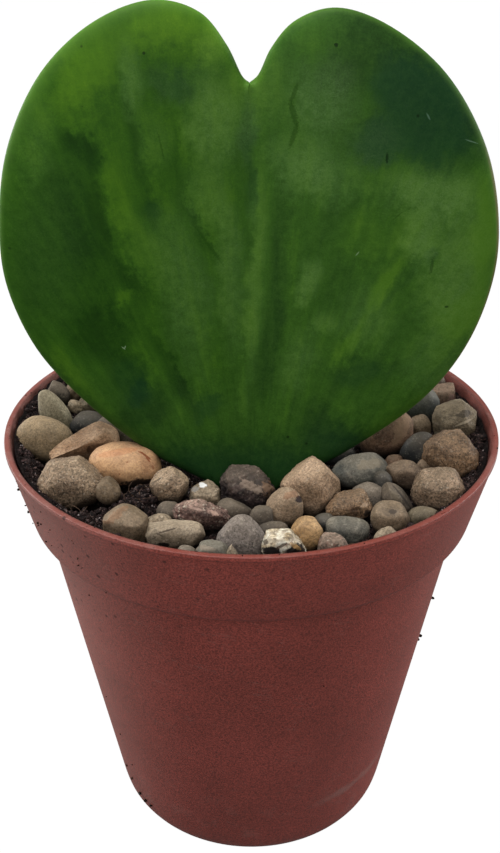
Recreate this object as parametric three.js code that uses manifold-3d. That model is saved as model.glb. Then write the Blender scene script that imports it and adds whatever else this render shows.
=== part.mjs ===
// A single-leaf hoya in its nursery pot: one thick heart-shaped leaf stands on a short stalk in potting
// soil, in a small round plastic pot, with washed pebbles laid over the soil.
// Millimetres, +Z up. The origin is on the pot's axis at the surface that it stands on, and the leaf's
// upper face looks along -Y.
import * as THREE from "three";
import { mergeVertices } from "three/addons/utils/BufferGeometryUtils.js";
import Module from "manifold-3d";

const wasm = await Module();
wasm.setup();

// ---------------------------------------------------------------- driving dimensions
const POT_HEIGHT = 55;
const RIM_RADIUS = 30;
const COLLAR_HEIGHT = 10.2;
const COLLAR_FOOT_RADIUS = 27.5;
const BODY_TOP_RADIUS = 25.9;
const BODY_FOOT_RADIUS = 18.3;
const WALL = 0.8;
const LIP_STEP = 0.4; // how far the lip stands out from the collar
const FLOOR_UNDERSIDE = 0.8;
const FLOOR_TOP = 1.7;
const FOOT_RING_INNER = 13.8;
const FOOT_RING_OUTER = 15.9;
const DRAIN_RADIUS = 1.9;
const DRAIN_CIRCLE = 10.5;
const DRAIN_COUNT = 6;
const CLEARANCE = 0.3;
const SOIL_LEVEL = 51.5;
const SOIL_SLOPE = 0.03; // the soil rises a little towards the back
const LARGE = 2.3; // half length past which a pebble has finer faces
const HEAVY = 1.7; // half height past which a pebble sinks into the soil
const SINKING = 1.4; // and how far, for each millimetre more
const LEAF_ORIGIN = [0, -6, 54];
const LEAF_LEAN = THREE.MathUtils.degToRad(8);
const LEAF_HALF_THICKNESS = 1.6;
const STALK_TOP = -2;
const STALK_JOIN = -4;
const STALK_FOOT = -18;
const STALK_RADIUS = 1.8;
const POT_SECTORS = 60;
const SOIL_SECTORS = 60;
const SOIL_RINGS = 12;
const MAP_CELL = 0.25; // grid on which a pebble's rest height is found
const MAP_HALF = 31;
const NUDGE = 2.5; // how far a pebble may slide from its place, to lie lower or clear
const GRIP = 1; // the slope that a pebble lies still on

const COLLAR_FOOT = POT_HEIGHT - COLLAR_HEIGHT;
const LIP_FOOT = POT_HEIGHT - 1.7;
const EXACT_MERGE = 1e-4;

// Pebble finishes, and the colour that each has.
const FINISHES = {
  tan: 0xa08a6c,
  sand: 0xb09c80,
  ochre: 0xc49a62,
  brown: 0x86684c,
  rust: 0x7c5a48,
  plum: 0x5a474a,
  pink: 0x9a7a70,
  grey: 0x7e7a74,
  olive: 0x7c7660,
  slate: 0x58605e,
  quartz: 0xd2c8a8,
};

// Pebbles that are told apart. at: place on the bed. half: half sizes across, deep and high.
// turn: degrees about the vertical. roll: degrees that lift its right end. block: 2 is an ellipsoid, and
// higher is squarer. taper: how far it narrows towards its top. edge: how much flat faces cut it.
const PEBBLES = [
  { finish: "slate", at: [-25.3, 9.6], half: [1.7, 1.5, 2], roll: -10, edge: 0.4 },
  { finish: "brown", at: [-22.7, 10.8], half: [0.9, 0.9, 1.7] },
  { finish: "grey", at: [-20.5, 8], half: [2, 1.8, 1.5], roll: 20 },
  { finish: "slate", at: [-21, 2], half: [2.1, 1.8, 1.5] },
  { finish: "grey", at: [-17.5, 1], half: [2.2, 1.5, 1.5], roll: -22, block: 2.6 },
  { finish: "grey", at: [-7.2, -26], half: [1.3, 1, 1.6] },
  { finish: "olive", at: [-4.4, -26], half: [1.7, 1.2, 1.8], roll: -10, block: 2.6 },
  { finish: "sand", at: [-2, -26.5], half: [0.8, 0.8, 1.8], taper: 0.5 },
  { finish: "olive", at: [-1.2, -17.2], half: [1.9, 1.1, 1.7], roll: -12 },
  { finish: "olive", at: [1, -19.7], half: [1.1, 1.1, 1.8] },
  { finish: "quartz", at: [3.6, -25.2], half: [2.4, 1.5, 2.1], roll: -18, block: 2.8, edge: 0.5 },
  { finish: "pink", at: [8.8, -25], half: [1.6, 1.4, 1.9], roll: -10, edge: 0.5 },
  { finish: "grey", at: [13.4, -14.4], half: [1.6, 1.2, 1.6] },
  { finish: "sand", at: [14.6, -23], half: [1.3, 0.9, 1.4], taper: 0.4, edge: 0.5 },
  { finish: "olive", at: [18.8, -19.5], half: [1.7, 1.3, 1.5], roll: 8 },
  { finish: "slate", at: [19.6, -3.8], half: [1.4, 1.5, 2.5] },
  { finish: "pink", at: [25.3, 7.8], half: [1.6, 1.4, 2.2], block: 2.8, edge: 0.6 },
  { finish: "grey", at: [24.2, 11.4], half: [1.4, 1.3, 2.1] },
  { finish: "brown", at: [10.5, -4.5], half: [1.8, 1.5, 1.2] },
  { finish: "brown", at: [21, 1.5], half: [1.2, 1.2, 1.8] },
  { finish: "tan", at: [-16, -13.6], half: [1.4, 1.4, 1.7] },
  { finish: "tan", at: [-9.5, -14], half: [2.1, 1.9, 2.2], roll: -25, edge: 0.3 },
  { finish: "grey", at: [-9.6, -17.5], half: [1.1, 1.1, 1.2] },
  { finish: "quartz", at: [-5.3, -13.4], half: [1.7, 1.5, 1.8], block: 2.6, edge: 0.7 },
  { finish: "olive", at: [16.6, -15.3], half: [1.4, 1.5, 2], roll: -32 },
  { finish: "olive", at: [15.6, -12.6], half: [1, 1, 1.5] },
  { finish: "pink", at: [17.7, -10.3], half: [2.1, 1.3, 1.7], roll: -16, block: 2.4, edge: 0.3 },
  { finish: "slate", at: [22, 6.5], half: [2.2, 2.1, 2.7] },
  { finish: "rust", at: [16.5, -0.6], half: [3.5, 2.4, 2.8], roll: 28 },
  { finish: "olive", at: [25.5, 1.5], half: [2.8, 2.4, 2.8], block: 2.8, edge: 0.9 },
  { finish: "brown", at: [23.8, -5.9], half: [3.5, 2.8, 3.2], roll: -14, block: 2.4, edge: 0.7 },
  { finish: "sand", at: [-25.5, -2.2], half: [3.4, 2.2, 2.9], roll: -14 },
  { finish: "olive", at: [-24.5, 3.5], half: [1.9, 1.4, 3.4], roll: -14 },
  { finish: "brown", at: [-19.2, -4.9], half: [3.9, 1.4, 1.9], turn: 28, roll: 14, block: 2.6, edge: 0.5 },
  { finish: "tan", at: [-13.8, -21.5], half: [2.4, 1.9, 2.2], block: 3.2, edge: 0.4 },
  { finish: "pink", at: [-5.6, -18.5], half: [3, 1.3, 1.6], roll: -10, block: 2.4, edge: 0.6 },
  { finish: "grey", at: [-0.9, -23.2], half: [2.5, 1.8, 2.8], taper: 0.5 },
  { finish: "ochre", at: [5.9, -22.2], half: [1.6, 1.4, 2.1], roll: -14, taper: 0.2 },
  { finish: "slate", at: [10.5, -21.3], half: [2.3, 1.3, 1.4], roll: -6, block: 2.5 },
  { finish: "pink", at: [11, -16.8], half: [2.6, 1.8, 1.9], roll: 16, edge: 0.7 },
  { finish: "tan", at: [15.2, -19.2], half: [2, 1.7, 1.9], edge: 0.4 },
  { finish: "grey", at: [12.5, -9.7], half: [3.2, 2.1, 1.9], roll: 6, block: 2.2 },
  { finish: "tan", at: [21.2, -13.4], half: [3, 2.4, 2.4], block: 2.3, edge: 0.4 },
  { finish: "plum", at: [-0.4, -13], half: [3.3, 2.2, 2.8], block: 2.2, edge: 0.6 },
  { finish: "sand", at: [3.6, -17.2], half: [2.1, 1.8, 2.4] },
  { finish: "tan", at: [6.9, -12.6], half: [3.2, 2.5, 3.4], block: 2.1, taper: 0.45, edge: 0.8 },
  { finish: "ochre", at: [-15, -7.4], half: [4.1, 2.7, 2.4], roll: -4 },
  { finish: "tan", at: [-20.8, -12.8], half: [3.8, 2.7, 3], roll: 8, block: 2.3, edge: 0.5 },
];

// A long flat pebble and the one that lies on its shoulder, of one colour and fused.
const SHOULDERED_PAIR = {
  finish: "sand",
  members: [
    { at: [-8.2, -22.5], half: [3.4, 1.4, 1.5], block: 2.8, edge: 0.3 },
    { at: [-10.4, -21], half: [1.5, 1.2, 1.6], lift: 0.2 },
  ],
};

// Behind the leaf the pebbles lie in rows round the pot's axis. Each row's group sizes say how many
// neighbours of one colour are fused.
const BACK_ROWS = [
  { radius: 25, from: 38, to: 142, groups: [4, 4] },
  { radius: 18.3, from: 26, to: 150, groups: [3, 4] },
  { radius: 11.8, from: 18, to: 164, groups: [3, 3] },
  { radius: 4.6, from: 24, to: 156, groups: [3] },
];
const BACK_FINISHES = ["tan", "slate", "rust", "grey", "ochre", "olive", "sand"];

// ---------------------------------------------------------------- helpers
/** A repeatable random draw from 0 to 1 (mulberry32). */
function randomFrom(seed) {
  let state = seed >>> 0;
  return () => {
    state = (state + 0x6d2b79f5) >>> 0;
    let t = state;
    t = Math.imul(t ^ (t >>> 15), t | 1);
    t ^= t + Math.imul(t ^ (t >>> 7), t | 61);
    return ((t ^ (t >>> 14)) >>> 0) / 4294967296;
  };
}

/** A three.js geometry as a manifold solid. */
function solidOf(geometry) {
  const bare = new THREE.BufferGeometry();
  bare.setAttribute("position", geometry.getAttribute("position").clone());
  if (geometry.index) bare.setIndex(geometry.index.clone());
  const merged = mergeVertices(bare, EXACT_MERGE);
  const kept = [];
  const index = merged.index.array;
  for (let i = 0; i < index.length; i += 3) {
    const [a, b, c] = [index[i], index[i + 1], index[i + 2]];
    if (a !== b && b !== c && c !== a) kept.push(a, b, c);
  }
  return new wasm.Manifold(
    new wasm.Mesh({
      numProp: 3,
      vertProperties: new Float32Array(merged.attributes.position.array),
      triVerts: new Uint32Array(kept),
    }),
  );
}

/** A manifold solid as a three.js geometry. */
function geometryOf(solid) {
  const mesh = solid.getMesh();
  const position = new Float32Array(mesh.numVert * 3);
  for (let i = 0; i < mesh.numVert; i++) {
    position.set(mesh.vertProperties.subarray(i * mesh.numProp, i * mesh.numProp + 3), i * 3);
  }
  const geometry = new THREE.BufferGeometry();
  geometry.setAttribute("position", new THREE.BufferAttribute(position, 3));
  geometry.setIndex(new THREE.BufferAttribute(new Uint32Array(mesh.triVerts), 1));
  geometry.computeVertexNormals();
  return geometry;
}

/** A profile of [radius, height] pairs turned about the Z axis. */
function turned(profile, segments) {
  const points = profile.map(([r, z]) => new THREE.Vector2(r, z));
  return new THREE.LatheGeometry(points, segments).rotateX(Math.PI / 2);
}

/** The collar's inner radius at a height. */
function innerRadius(z) {
  const share = Math.min((z - COLLAR_FOOT) / COLLAR_HEIGHT, 1);
  return THREE.MathUtils.lerp(COLLAR_FOOT_RADIUS, RIM_RADIUS - LIP_STEP, share) - WALL;
}

/** Turns a shape from the leaf's own plane (across, up, towards the viewer) into its place. */
function leafPlace() {
  const upright = new THREE.Matrix4().makeRotationX(Math.PI / 2 - LEAF_LEAN);
  return new THREE.Matrix4().makeTranslation(...LEAF_ORIGIN).multiply(upright);
}

// ---------------------------------------------------------------- pot
/** The pot: a tapered cup with a foot ring, a stepped collar, a rolled lip and drain holes. */
function potGeometry() {
  const profile = [
    [0, FLOOR_UNDERSIDE],
    [FOOT_RING_INNER - 0.6, FLOOR_UNDERSIDE],
    [FOOT_RING_INNER, 0],
    [FOOT_RING_OUTER, 0],
    [FOOT_RING_OUTER + 1.2, 0.5],
    [BODY_FOOT_RADIUS - 0.4, 1.7],
    [BODY_FOOT_RADIUS, 3.3],
    [BODY_TOP_RADIUS, COLLAR_FOOT - 0.3],
    [COLLAR_FOOT_RADIUS - 0.4, COLLAR_FOOT],
    [COLLAR_FOOT_RADIUS, COLLAR_FOOT + 0.5],
    [RIM_RADIUS - LIP_STEP, LIP_FOOT],
    [RIM_RADIUS, LIP_FOOT + 0.4],
    [RIM_RADIUS, POT_HEIGHT - 0.3],
    [RIM_RADIUS - 0.3, POT_HEIGHT],
    [RIM_RADIUS - 0.9, POT_HEIGHT],
    [RIM_RADIUS - 1.2, POT_HEIGHT - 0.3],
    [RIM_RADIUS - LIP_STEP - WALL, LIP_FOOT],
    [COLLAR_FOOT_RADIUS - WALL, COLLAR_FOOT + 0.2],
    [BODY_TOP_RADIUS - WALL, COLLAR_FOOT - 0.6],
    [BODY_FOOT_RADIUS - WALL, 3.6],
    [FOOT_RING_OUTER, FLOOR_TOP],
    [0, FLOOR_TOP],
  ];
  let pot = solidOf(turned(profile, POT_SECTORS));
  const holes = [[0, 0]];
  for (let i = 0; i < DRAIN_COUNT; i++) {
    const angle = (i * 2 * Math.PI) / DRAIN_COUNT;
    holes.push([DRAIN_CIRCLE * Math.cos(angle), DRAIN_CIRCLE * Math.sin(angle)]);
  }
  for (const [x, y] of holes) {
    const drill = new THREE.CylinderGeometry(DRAIN_RADIUS, DRAIN_RADIUS, 2 * FLOOR_TOP, 16);
    pot = pot.subtract(solidOf(drill.rotateX(Math.PI / 2).translate(x, y, FLOOR_TOP)));
  }
  return geometryOf(pot);
}

// ---------------------------------------------------------------- leaf
// One half of the heart's outline, from its foot up and over the lobe to the notch, in the leaf's own
// plane: across, then up from the leaf's origin.
const LEFT_OUTLINE = [
  [-1.6, -5.6],
  [-7.5, -2.4],
  [-12.5, 0.7],
  [-19.7, 7],
  [-24.8, 13.1],
  [-27.7, 20.3],
  [-28.1, 26.9],
  [-26.7, 35.5],
  [-22.4, 43.7],
  [-16.3, 48.9],
  [-10.1, 50.9],
  [-5.4, 49.6],
  [-2.6, 46.3],
  [-0.9, 43],
  [-0.2, 42.4],
];
const RIGHT_OUTLINE = [
  [1.6, -5.6],
  [6.7, -2.4],
  [11.7, 0.7],
  [20, 7],
  [24.6, 13.1],
  [27.2, 20.3],
  [27.6, 26.9],
  [25.7, 35.5],
  [20.6, 43.7],
  [13.6, 48.8],
  [8.6, 50.1],
  [4.5, 48.7],
  [2.1, 46],
  [0.7, 43.2],
  [-0.2, 42.4],
];
const FOOT_LEVEL = LEFT_OUTLINE[0][1];
const [NOTCH_ACROSS, NOTCH_LEVEL] = LEFT_OUTLINE[LEFT_OUTLINE.length - 1];
const BLADE_STEPS = 26;
const BLADE_RINGS = [0, 0.3, 0.58, 0.78, 0.9, 0.965, 1];

/** How far the blade's middle surface stands towards the viewer at a place in its own plane. */
function bladeRise(across, up) {
  const pads = 1.2 * Math.sin((Math.PI * Math.min(Math.abs(across), 27)) / 31);
  const recurve = 0.0009 * (up - 18) ** 2;
  return pads - recurve;
}

/** Half the blade's thickness, from 0 on the midrib to 1 on the edge. */
function bladeHalfThickness(toEdge) {
  return LEAF_HALF_THICKNESS * Math.sqrt(Math.max(0, 1 - toEdge ** 5));
}

/** One half of the blade, as rows from the foot to the notch of points from the midrib to the edge. */
function bladeHalf(outline, face) {
  const curve = new THREE.CatmullRomCurve3(outline.map(([u, v]) => new THREE.Vector3(u, v, 0)));
  const rows = [];
  for (let i = 0; i <= BLADE_STEPS; i++) {
    const share = i / BLADE_STEPS;
    const rim = curve.getPoint(share);
    const level = THREE.MathUtils.lerp(FOOT_LEVEL, NOTCH_LEVEL, share);
    const rib = new THREE.Vector3(NOTCH_ACROSS * share, level, 0);
    rows.push(
      BLADE_RINGS.map((t) => {
        const p = rib.clone().lerp(rim, t);
        const ends = Math.min(1, 8 * share, 12 * (1 - share));
        const half = bladeHalfThickness(Math.max(t, 1 - ends));
        return new THREE.Vector3(p.x, p.y, bladeRise(p.x, p.y) + face * half);
      }),
    );
  }
  return rows;
}

/** The leaf: its blade and stalk in one, standing in place. */
function leafSolid() {
  const corners = [];
  const push = (a, b, c) => corners.push(a.x, a.y, a.z, b.x, b.y, b.z, c.x, c.y, c.z);
  for (const [outline, side] of [
    [LEFT_OUTLINE, -1],
    [RIGHT_OUTLINE, 1],
  ]) {
    for (const face of [-1, 1]) {
      const rows = bladeHalf(outline, face);
      for (let i = 0; i < BLADE_STEPS; i++) {
        for (let j = 0; j < BLADE_RINGS.length - 1; j++) {
          const quad = [rows[i][j], rows[i][j + 1], rows[i + 1][j + 1], rows[i + 1][j]];
          const [a, b, c, d] = side * face > 0 ? quad : [quad[0], quad[3], quad[2], quad[1]];
          push(a, b, c);
          push(a, c, d);
        }
      }
    }
  }
  const blade = new THREE.BufferGeometry();
  blade.setAttribute("position", new THREE.Float32BufferAttribute(corners, 3));
  const stalk = turned(
    [
      [0, STALK_FOOT],
      [STALK_RADIUS - 0.4, STALK_FOOT],
      [STALK_RADIUS, STALK_FOOT + 0.6],
      [STALK_RADIUS - 0.1, -8],
      [STALK_RADIUS, -5],
      [1.2, STALK_TOP],
      [0, STALK_TOP + 0.5],
    ],
    12,
  ).rotateX(-Math.PI / 2);
  stalk.translate(0, 0, bladeRise(0, STALK_JOIN));
  const leaf = solidOf(blade).add(solidOf(stalk));
  return leaf.transform(leafPlace().elements);
}

// ---------------------------------------------------------------- pebbles
/** A pebble about its own centre: a rounded block, tapered, cut by a few flat faces and a little uneven. */
function pebbleGeometry({ half, turn = 0, roll = 0, block = 2, taper = 0, edge = 0, lift = 0 }, seed) {
  const random = randomFrom(seed);
  const geometry = new THREE.IcosahedronGeometry(1, half[0] > LARGE ? 2 : 1);
  const waves = Array.from({ length: 3 }, () => ({
    along: new THREE.Vector3(random() - 0.5, random() - 0.5, random() - 0.5).multiplyScalar(5),
    phase: random() * 6.28,
  }));
  const faces = Array.from({ length: 6 }, () => ({
    normal: new THREE.Vector3(random() - 0.5, random() - 0.5, random() - 0.3).normalize(),
    depth: 1 - 0.3 * edge * random(),
  }));
  const position = geometry.getAttribute("position");
  const p = new THREE.Vector3();
  for (let i = 0; i < position.count; i++) {
    p.fromBufferAttribute(position, i);
    const [x, y, z] = p.toArray().map((q) => Math.abs(q) ** block);
    const swell = waves.reduce((sum, w) => sum + 0.025 * Math.sin(w.along.dot(p) + w.phase), 1);
    p.multiplyScalar(swell * (x + y + z) ** (-1 / block));
    for (const f of faces) {
      const over = p.dot(f.normal) - f.depth;
      if (over > 0) p.addScaledVector(f.normal, -over);
    }
    const narrow = 1 - taper * Math.max(-0.5, p.z);
    p.set(p.x * narrow * half[0], p.y * narrow * half[1], p.z * half[2]);
    position.setXYZ(i, ...p.toArray());
  }
  geometry.rotateY(-THREE.MathUtils.degToRad(roll)).rotateZ(THREE.MathUtils.degToRad(turn));
  return geometry.translate(0, 0, lift);
}

/** A height map of the pot's inside: the highest point in each cell, as pebbles come to lie in it. */
class Bed {
  constructor(soil, leaf) {
    this.side = Math.round((2 * MAP_HALF) / MAP_CELL);
    this.top = new Float32Array(this.side ** 2);
    this.ceiling = new Float32Array(this.side ** 2).fill(Infinity);
    for (let row = 0; row < this.side; row++) {
      for (let column = 0; column < this.side; column++) {
        this.top[row * this.side + column] = this.wallHeight(this.placeOf(column), this.placeOf(row));
      }
    }
    this.scan(soil, (cell, z) => {
      this.top[cell] = Math.max(this.top[cell], z);
    });
    this.scan(leaf, (cell, z) => {
      this.ceiling[cell] = Math.min(this.ceiling[cell], z);
    });
  }

  placeOf(step) {
    return (step + 0.5) * MAP_CELL - MAP_HALF;
  }

  /** The height of the pot's sloping wall at (x, y), or a barrier past its rim. */
  wallHeight(x, y) {
    const r = Math.hypot(x, y) + CLEARANCE;
    const rim = innerRadius(LIP_FOOT);
    const foot = innerRadius(COLLAR_FOOT);
    const slope = (LIP_FOOT - COLLAR_FOOT) / (rim - foot);
    return r > rim ? 2 * POT_HEIGHT : COLLAR_FOOT + (r - foot) * slope;
  }

  /** Calls visit(cell, z) for the points of a solid's triangles over each cell. */
  scan(solid, visit) {
    const mesh = solid.getMesh();
    const at = (i) => Array.from(mesh.vertProperties.subarray(i * mesh.numProp, i * mesh.numProp + 3));
    for (let t = 0; t < mesh.triVerts.length; t += 3) {
      const [a, b, c] = [at(mesh.triVerts[t]), at(mesh.triVerts[t + 1]), at(mesh.triVerts[t + 2])];
      const span = Math.max(
        Math.hypot(a[0] - b[0], a[1] - b[1], a[2] - b[2]),
        Math.hypot(b[0] - c[0], b[1] - c[1], b[2] - c[2]),
        Math.hypot(c[0] - a[0], c[1] - a[1], c[2] - a[2]),
      );
      const n = Math.ceil(span / (0.6 * MAP_CELL));
      for (let i = 0; i <= n; i++) {
        for (let j = 0; j <= n - i; j++) {
          const [wa, wb] = [i / n, j / n];
          const wc = 1 - wa - wb;
          const x = wa * a[0] + wb * b[0] + wc * c[0];
          const y = wa * a[1] + wb * b[1] + wc * c[1];
          const column = Math.floor((x + MAP_HALF) / MAP_CELL);
          const row = Math.floor((y + MAP_HALF) / MAP_CELL);
          if (column < 0 || row < 0 || column >= this.side || row >= this.side) continue;
          visit(row * this.side + column, wa * a[2] + wb * b[2] + wc * c[2]);
        }
      }
    }
  }

  /** The solid's lowest and highest point over each cell that it covers, about its own centre. */
  shadowOf(solid) {
    const cells = new Map();
    this.scan(solid, (cell, z) => {
      const seen = cells.get(cell);
      if (seen) {
        seen.low = Math.min(seen.low, z);
        seen.high = Math.max(seen.high, z);
      } else cells.set(cell, { low: z, high: z });
    });
    return cells;
  }

  /** Where the solid comes to rest near (x, y): it slides a little to lie lower, clear of the leaf. */
  settle(solid, x, y) {
    const cells = this.shadowOf(solid);
    const steps = Math.round(NUDGE / MAP_CELL);
    const home = Math.round(y / MAP_CELL) * this.side + Math.round(x / MAP_CELL);
    let best = null;
    for (let up = -steps; up <= steps; up++) {
      for (let over = -steps; over <= steps; over++) {
        const shift = home + up * this.side + over;
        let z = -Infinity;
        for (const [cell, { low }] of cells) z = Math.max(z, this.top[cell + shift] - low);
        z += CLEARANCE;
        let clear = true;
        for (const [cell, { high }] of cells) {
          if (z + high + CLEARANCE > this.ceiling[cell + shift]) clear = false;
        }
        const cost = z + GRIP * MAP_CELL * Math.hypot(up, over) + (clear ? 0 : 1000);
        if (!best || cost < best.cost) best = { cost, z, shift, up, over };
      }
    }
    for (const [cell, { high }] of cells) {
      for (const next of [0, 1, -1, this.side, -this.side]) {
        const k = cell + best.shift + next;
        this.top[k] = Math.max(this.top[k], best.z + high);
      }
    }
    const snap = (value, step) => (Math.round(value / MAP_CELL) + step) * MAP_CELL;
    return [snap(x, best.over), snap(y, best.up), best.z];
  }
}

/** Pebbles of one colour, fused where they touch, let down together onto the bed. */
function layPebbles(bed, members, seed) {
  const [x, y] = members[0].at;
  const solid = members
    .map((m, i) => solidOf(pebbleGeometry(m, seed + 17 * i).translate(m.at[0] - x, m.at[1] - y, 0)))
    .reduce((all, one) => all.add(one));
  return solid.translate(bed.settle(solid, x, y));
}

/** The rows of pebbles behind the leaf, as groups of one colour. */
function backGroups() {
  const random = randomFrom(41);
  const groups = [];
  for (const row of BACK_ROWS) {
    const count = row.groups.reduce((a, b) => a + b);
    const stride = (row.to - row.from) / count;
    const length = THREE.MathUtils.degToRad(stride) * row.radius;
    let slot = 0;
    for (const size of row.groups) {
      const members = [];
      for (let i = 0; i < size; i++, slot++) {
        const inward = (i - (size - 1) / 2) * -0.12 * stride;
        const angle = row.from + (slot + 0.5) * stride + inward;
        const radius = row.radius + (random() - 0.5) * 0.8;
        const radian = THREE.MathUtils.degToRad(angle);
        members.push({
          at: [radius * Math.cos(radian), radius * Math.sin(radian)],
          half: [2.55 + 0.5 * random(), length * 0.485, 2.3 + 0.7 * random()],
          turn: angle,
          block: 2 + 0.6 * random(),
          edge: 0.6 * random(),
          lift: 0.8 * (random() - 0.5),
        });
      }
      groups.push({ finish: BACK_FINISHES[groups.length % BACK_FINISHES.length], members });
    }
  }
  return groups;
}

// ---------------------------------------------------------------- soil
// Low mounds where the soil shows between the pebbles: place, height and spread.
const MOUNDS = [
  { at: [-26, -9.5], rise: 2, spread: 3 },
  { at: [-12.5, -16], rise: 2, spread: 2.4 },
  { at: [-17.5, -20], rise: 1.8, spread: 2.4 },
  { at: [28, -3], rise: 2.5, spread: 3 },
];

/** A bell-shaped bump's height at (x, y). */
function bump(x, y, { at, rise, spread }) {
  const distance = Math.hypot(x - at[0], y - at[1]) / spread;
  return rise * Math.exp(-distance * distance);
}

/** The height of the soil's surface, which gives way under the large pebbles. */
function soilHeight(x, y) {
  const ripple = SOIL_SLOPE * y + 0.2 * Math.sin(0.55 * x + 1.1) * Math.cos(0.48 * y - 0.6);
  const hollow = PEBBLES.filter(({ half }) => half[2] > HEAVY).map(({ at, half }) =>
    bump(x, y, { at, rise: SINKING * (half[2] - HEAVY), spread: half[0] }),
  );
  const mounds = MOUNDS.reduce((rise, mound) => rise + bump(x, y, mound), 0);
  return SOIL_LEVEL + ripple + mounds - Math.max(0, ...hollow);
}

/** The soil plug: it fills the pot, with a hole that the stalk stands in. */
function soilSolid() {
  const gap = CLEARANCE;
  const edge = innerRadius(SOIL_LEVEL) - gap;
  const rings = Array.from({ length: SOIL_RINGS + 1 }, (_, i) => 1 - i / SOIL_RINGS);
  const profile = [
    [0, FLOOR_TOP + gap],
    [FOOT_RING_OUTER - 0.3, FLOOR_TOP + gap],
    [BODY_FOOT_RADIUS - WALL - gap - 0.1, 3.9],
    [BODY_TOP_RADIUS - WALL - gap, COLLAR_FOOT - 0.4],
    [innerRadius(COLLAR_FOOT) - gap - 0.1, COLLAR_FOOT + 0.5],
    ...rings.map((share) => [share * edge, SOIL_LEVEL]),
  ];
  const geometry = turned(profile, SOIL_SECTORS);
  const position = geometry.getAttribute("position");
  for (let i = 0; i < position.count; i++) {
    const [x, y, z] = [position.getX(i), position.getY(i), position.getZ(i)];
    if (z < SOIL_LEVEL - 0.01) continue;
    const height = soilHeight(x, y);
    const reach = Math.hypot(x, y);
    const room = reach > 0.99 * edge ? (innerRadius(height) - gap) / reach : 1;
    position.setXYZ(i, x * room, y * room, height);
  }
  return solidOf(geometry).subtract(stalkHole());
}

/** The hole that the stalk stands in, wider at its mouth. */
function stalkHole() {
  const hole = turned(
    [
      [0, STALK_FOOT - 0.4],
      [STALK_RADIUS + 0.4, STALK_FOOT - 0.4],
      [STALK_RADIUS + 0.4, -8.5],
      [5, -6.4],
      [9, -3.5],
      [9, 6],
      [0, 6],
    ],
    16,
  ).rotateX(-Math.PI / 2);
  hole.translate(0, 0, bladeRise(0, STALK_JOIN));
  return solidOf(hole).transform(leafPlace().elements);
}

// ---------------------------------------------------------------- the plant
const plant = new THREE.Group();

function addPart(name, geometry, color, roughness) {
  const material = new THREE.MeshStandardMaterial({ color, roughness, metalness: 0 });
  const mesh = new THREE.Mesh(geometry, material);
  mesh.name = name;
  plant.add(mesh);
}

const leaf = leafSolid();
const soil = soilSolid();

// The pebbles are let down one after another, the heaviest first, so that small ones fill the gaps.
const groups = [
  ...PEBBLES.map((pebble) => ({ prefix: "pebble", finish: pebble.finish, members: [pebble] })),
  { prefix: "pebble", ...SHOULDERED_PAIR },
  ...backGroups().map((group) => ({ prefix: "back_pebbles", ...group })),
];
const used = {};
for (const [i, group] of groups.entries()) {
  const kind = `${group.prefix}_${group.finish}`;
  used[kind] = (used[kind] ?? 0) + 1;
  group.name = `${kind}_${used[kind]}`;
  group.seed = 100 + 7 * i;
  group.weight = group.prefix === "pebble" ? group.members[0].half.reduce((a, b) => a * b) : 0;
}
const bed = new Bed(soil, leaf);
for (const { name, finish, members, seed } of groups.toSorted((a, b) => b.weight - a.weight)) {
  addPart(name, geometryOf(layPebbles(bed, members, seed)), FINISHES[finish], 0.75);
}

addPart("pot", potGeometry(), 0x8a4038, 0.55);
addPart("soil", geometryOf(soil), 0x241a16, 0.95);
addPart("leaf", geometryOf(leaf), 0x2c5516, 0.35);

export default plant;
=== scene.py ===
"""A potted hoya: one heart-shaped leaf in its small nursery pot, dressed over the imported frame.

Sizes in the classes are millimetres in the frame's own axes, and become metres where meshes are made.
"""

from __future__ import annotations

import logging
import math
from dataclasses import dataclass, field
from enum import Enum
from typing import Iterable, Sequence

import bmesh
import bpy
import numpy as np
from mathutils import Euler, Matrix, Vector
from mathutils.bvhtree import BVHTree

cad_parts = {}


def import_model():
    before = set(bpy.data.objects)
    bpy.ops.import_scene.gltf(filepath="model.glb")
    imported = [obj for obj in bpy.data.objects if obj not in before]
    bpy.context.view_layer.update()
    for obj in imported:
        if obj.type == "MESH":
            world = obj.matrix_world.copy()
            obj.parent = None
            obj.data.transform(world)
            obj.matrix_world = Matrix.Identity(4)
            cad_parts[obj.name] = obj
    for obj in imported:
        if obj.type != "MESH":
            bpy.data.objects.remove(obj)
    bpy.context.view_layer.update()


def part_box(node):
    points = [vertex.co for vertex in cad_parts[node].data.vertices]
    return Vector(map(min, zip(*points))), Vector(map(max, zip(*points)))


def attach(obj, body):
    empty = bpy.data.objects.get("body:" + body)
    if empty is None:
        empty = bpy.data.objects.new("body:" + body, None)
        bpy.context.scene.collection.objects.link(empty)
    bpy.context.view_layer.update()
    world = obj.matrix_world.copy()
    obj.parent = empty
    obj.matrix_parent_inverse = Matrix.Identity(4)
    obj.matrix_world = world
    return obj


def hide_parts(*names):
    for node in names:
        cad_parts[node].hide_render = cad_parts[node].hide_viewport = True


MM = 0.001
BODY = "root"

Vec = tuple[float, float, float]
Place = tuple[float, float]
Colour = tuple[float, float, float, float]

SLOPE = 0.485
"""How steeply the plant is looked down on, in radians."""
SEEN = Matrix(((1, 0, 0), (0, math.sin(SLOPE), -math.cos(SLOPE)), (0, math.cos(SLOPE), math.sin(SLOPE))))
"""Turns right, up and towards the viewer into the frame's axes."""

FULL_TURN = 6.28
"""The largest random turn, in radians."""

log = logging.getLogger("hoya")


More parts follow.
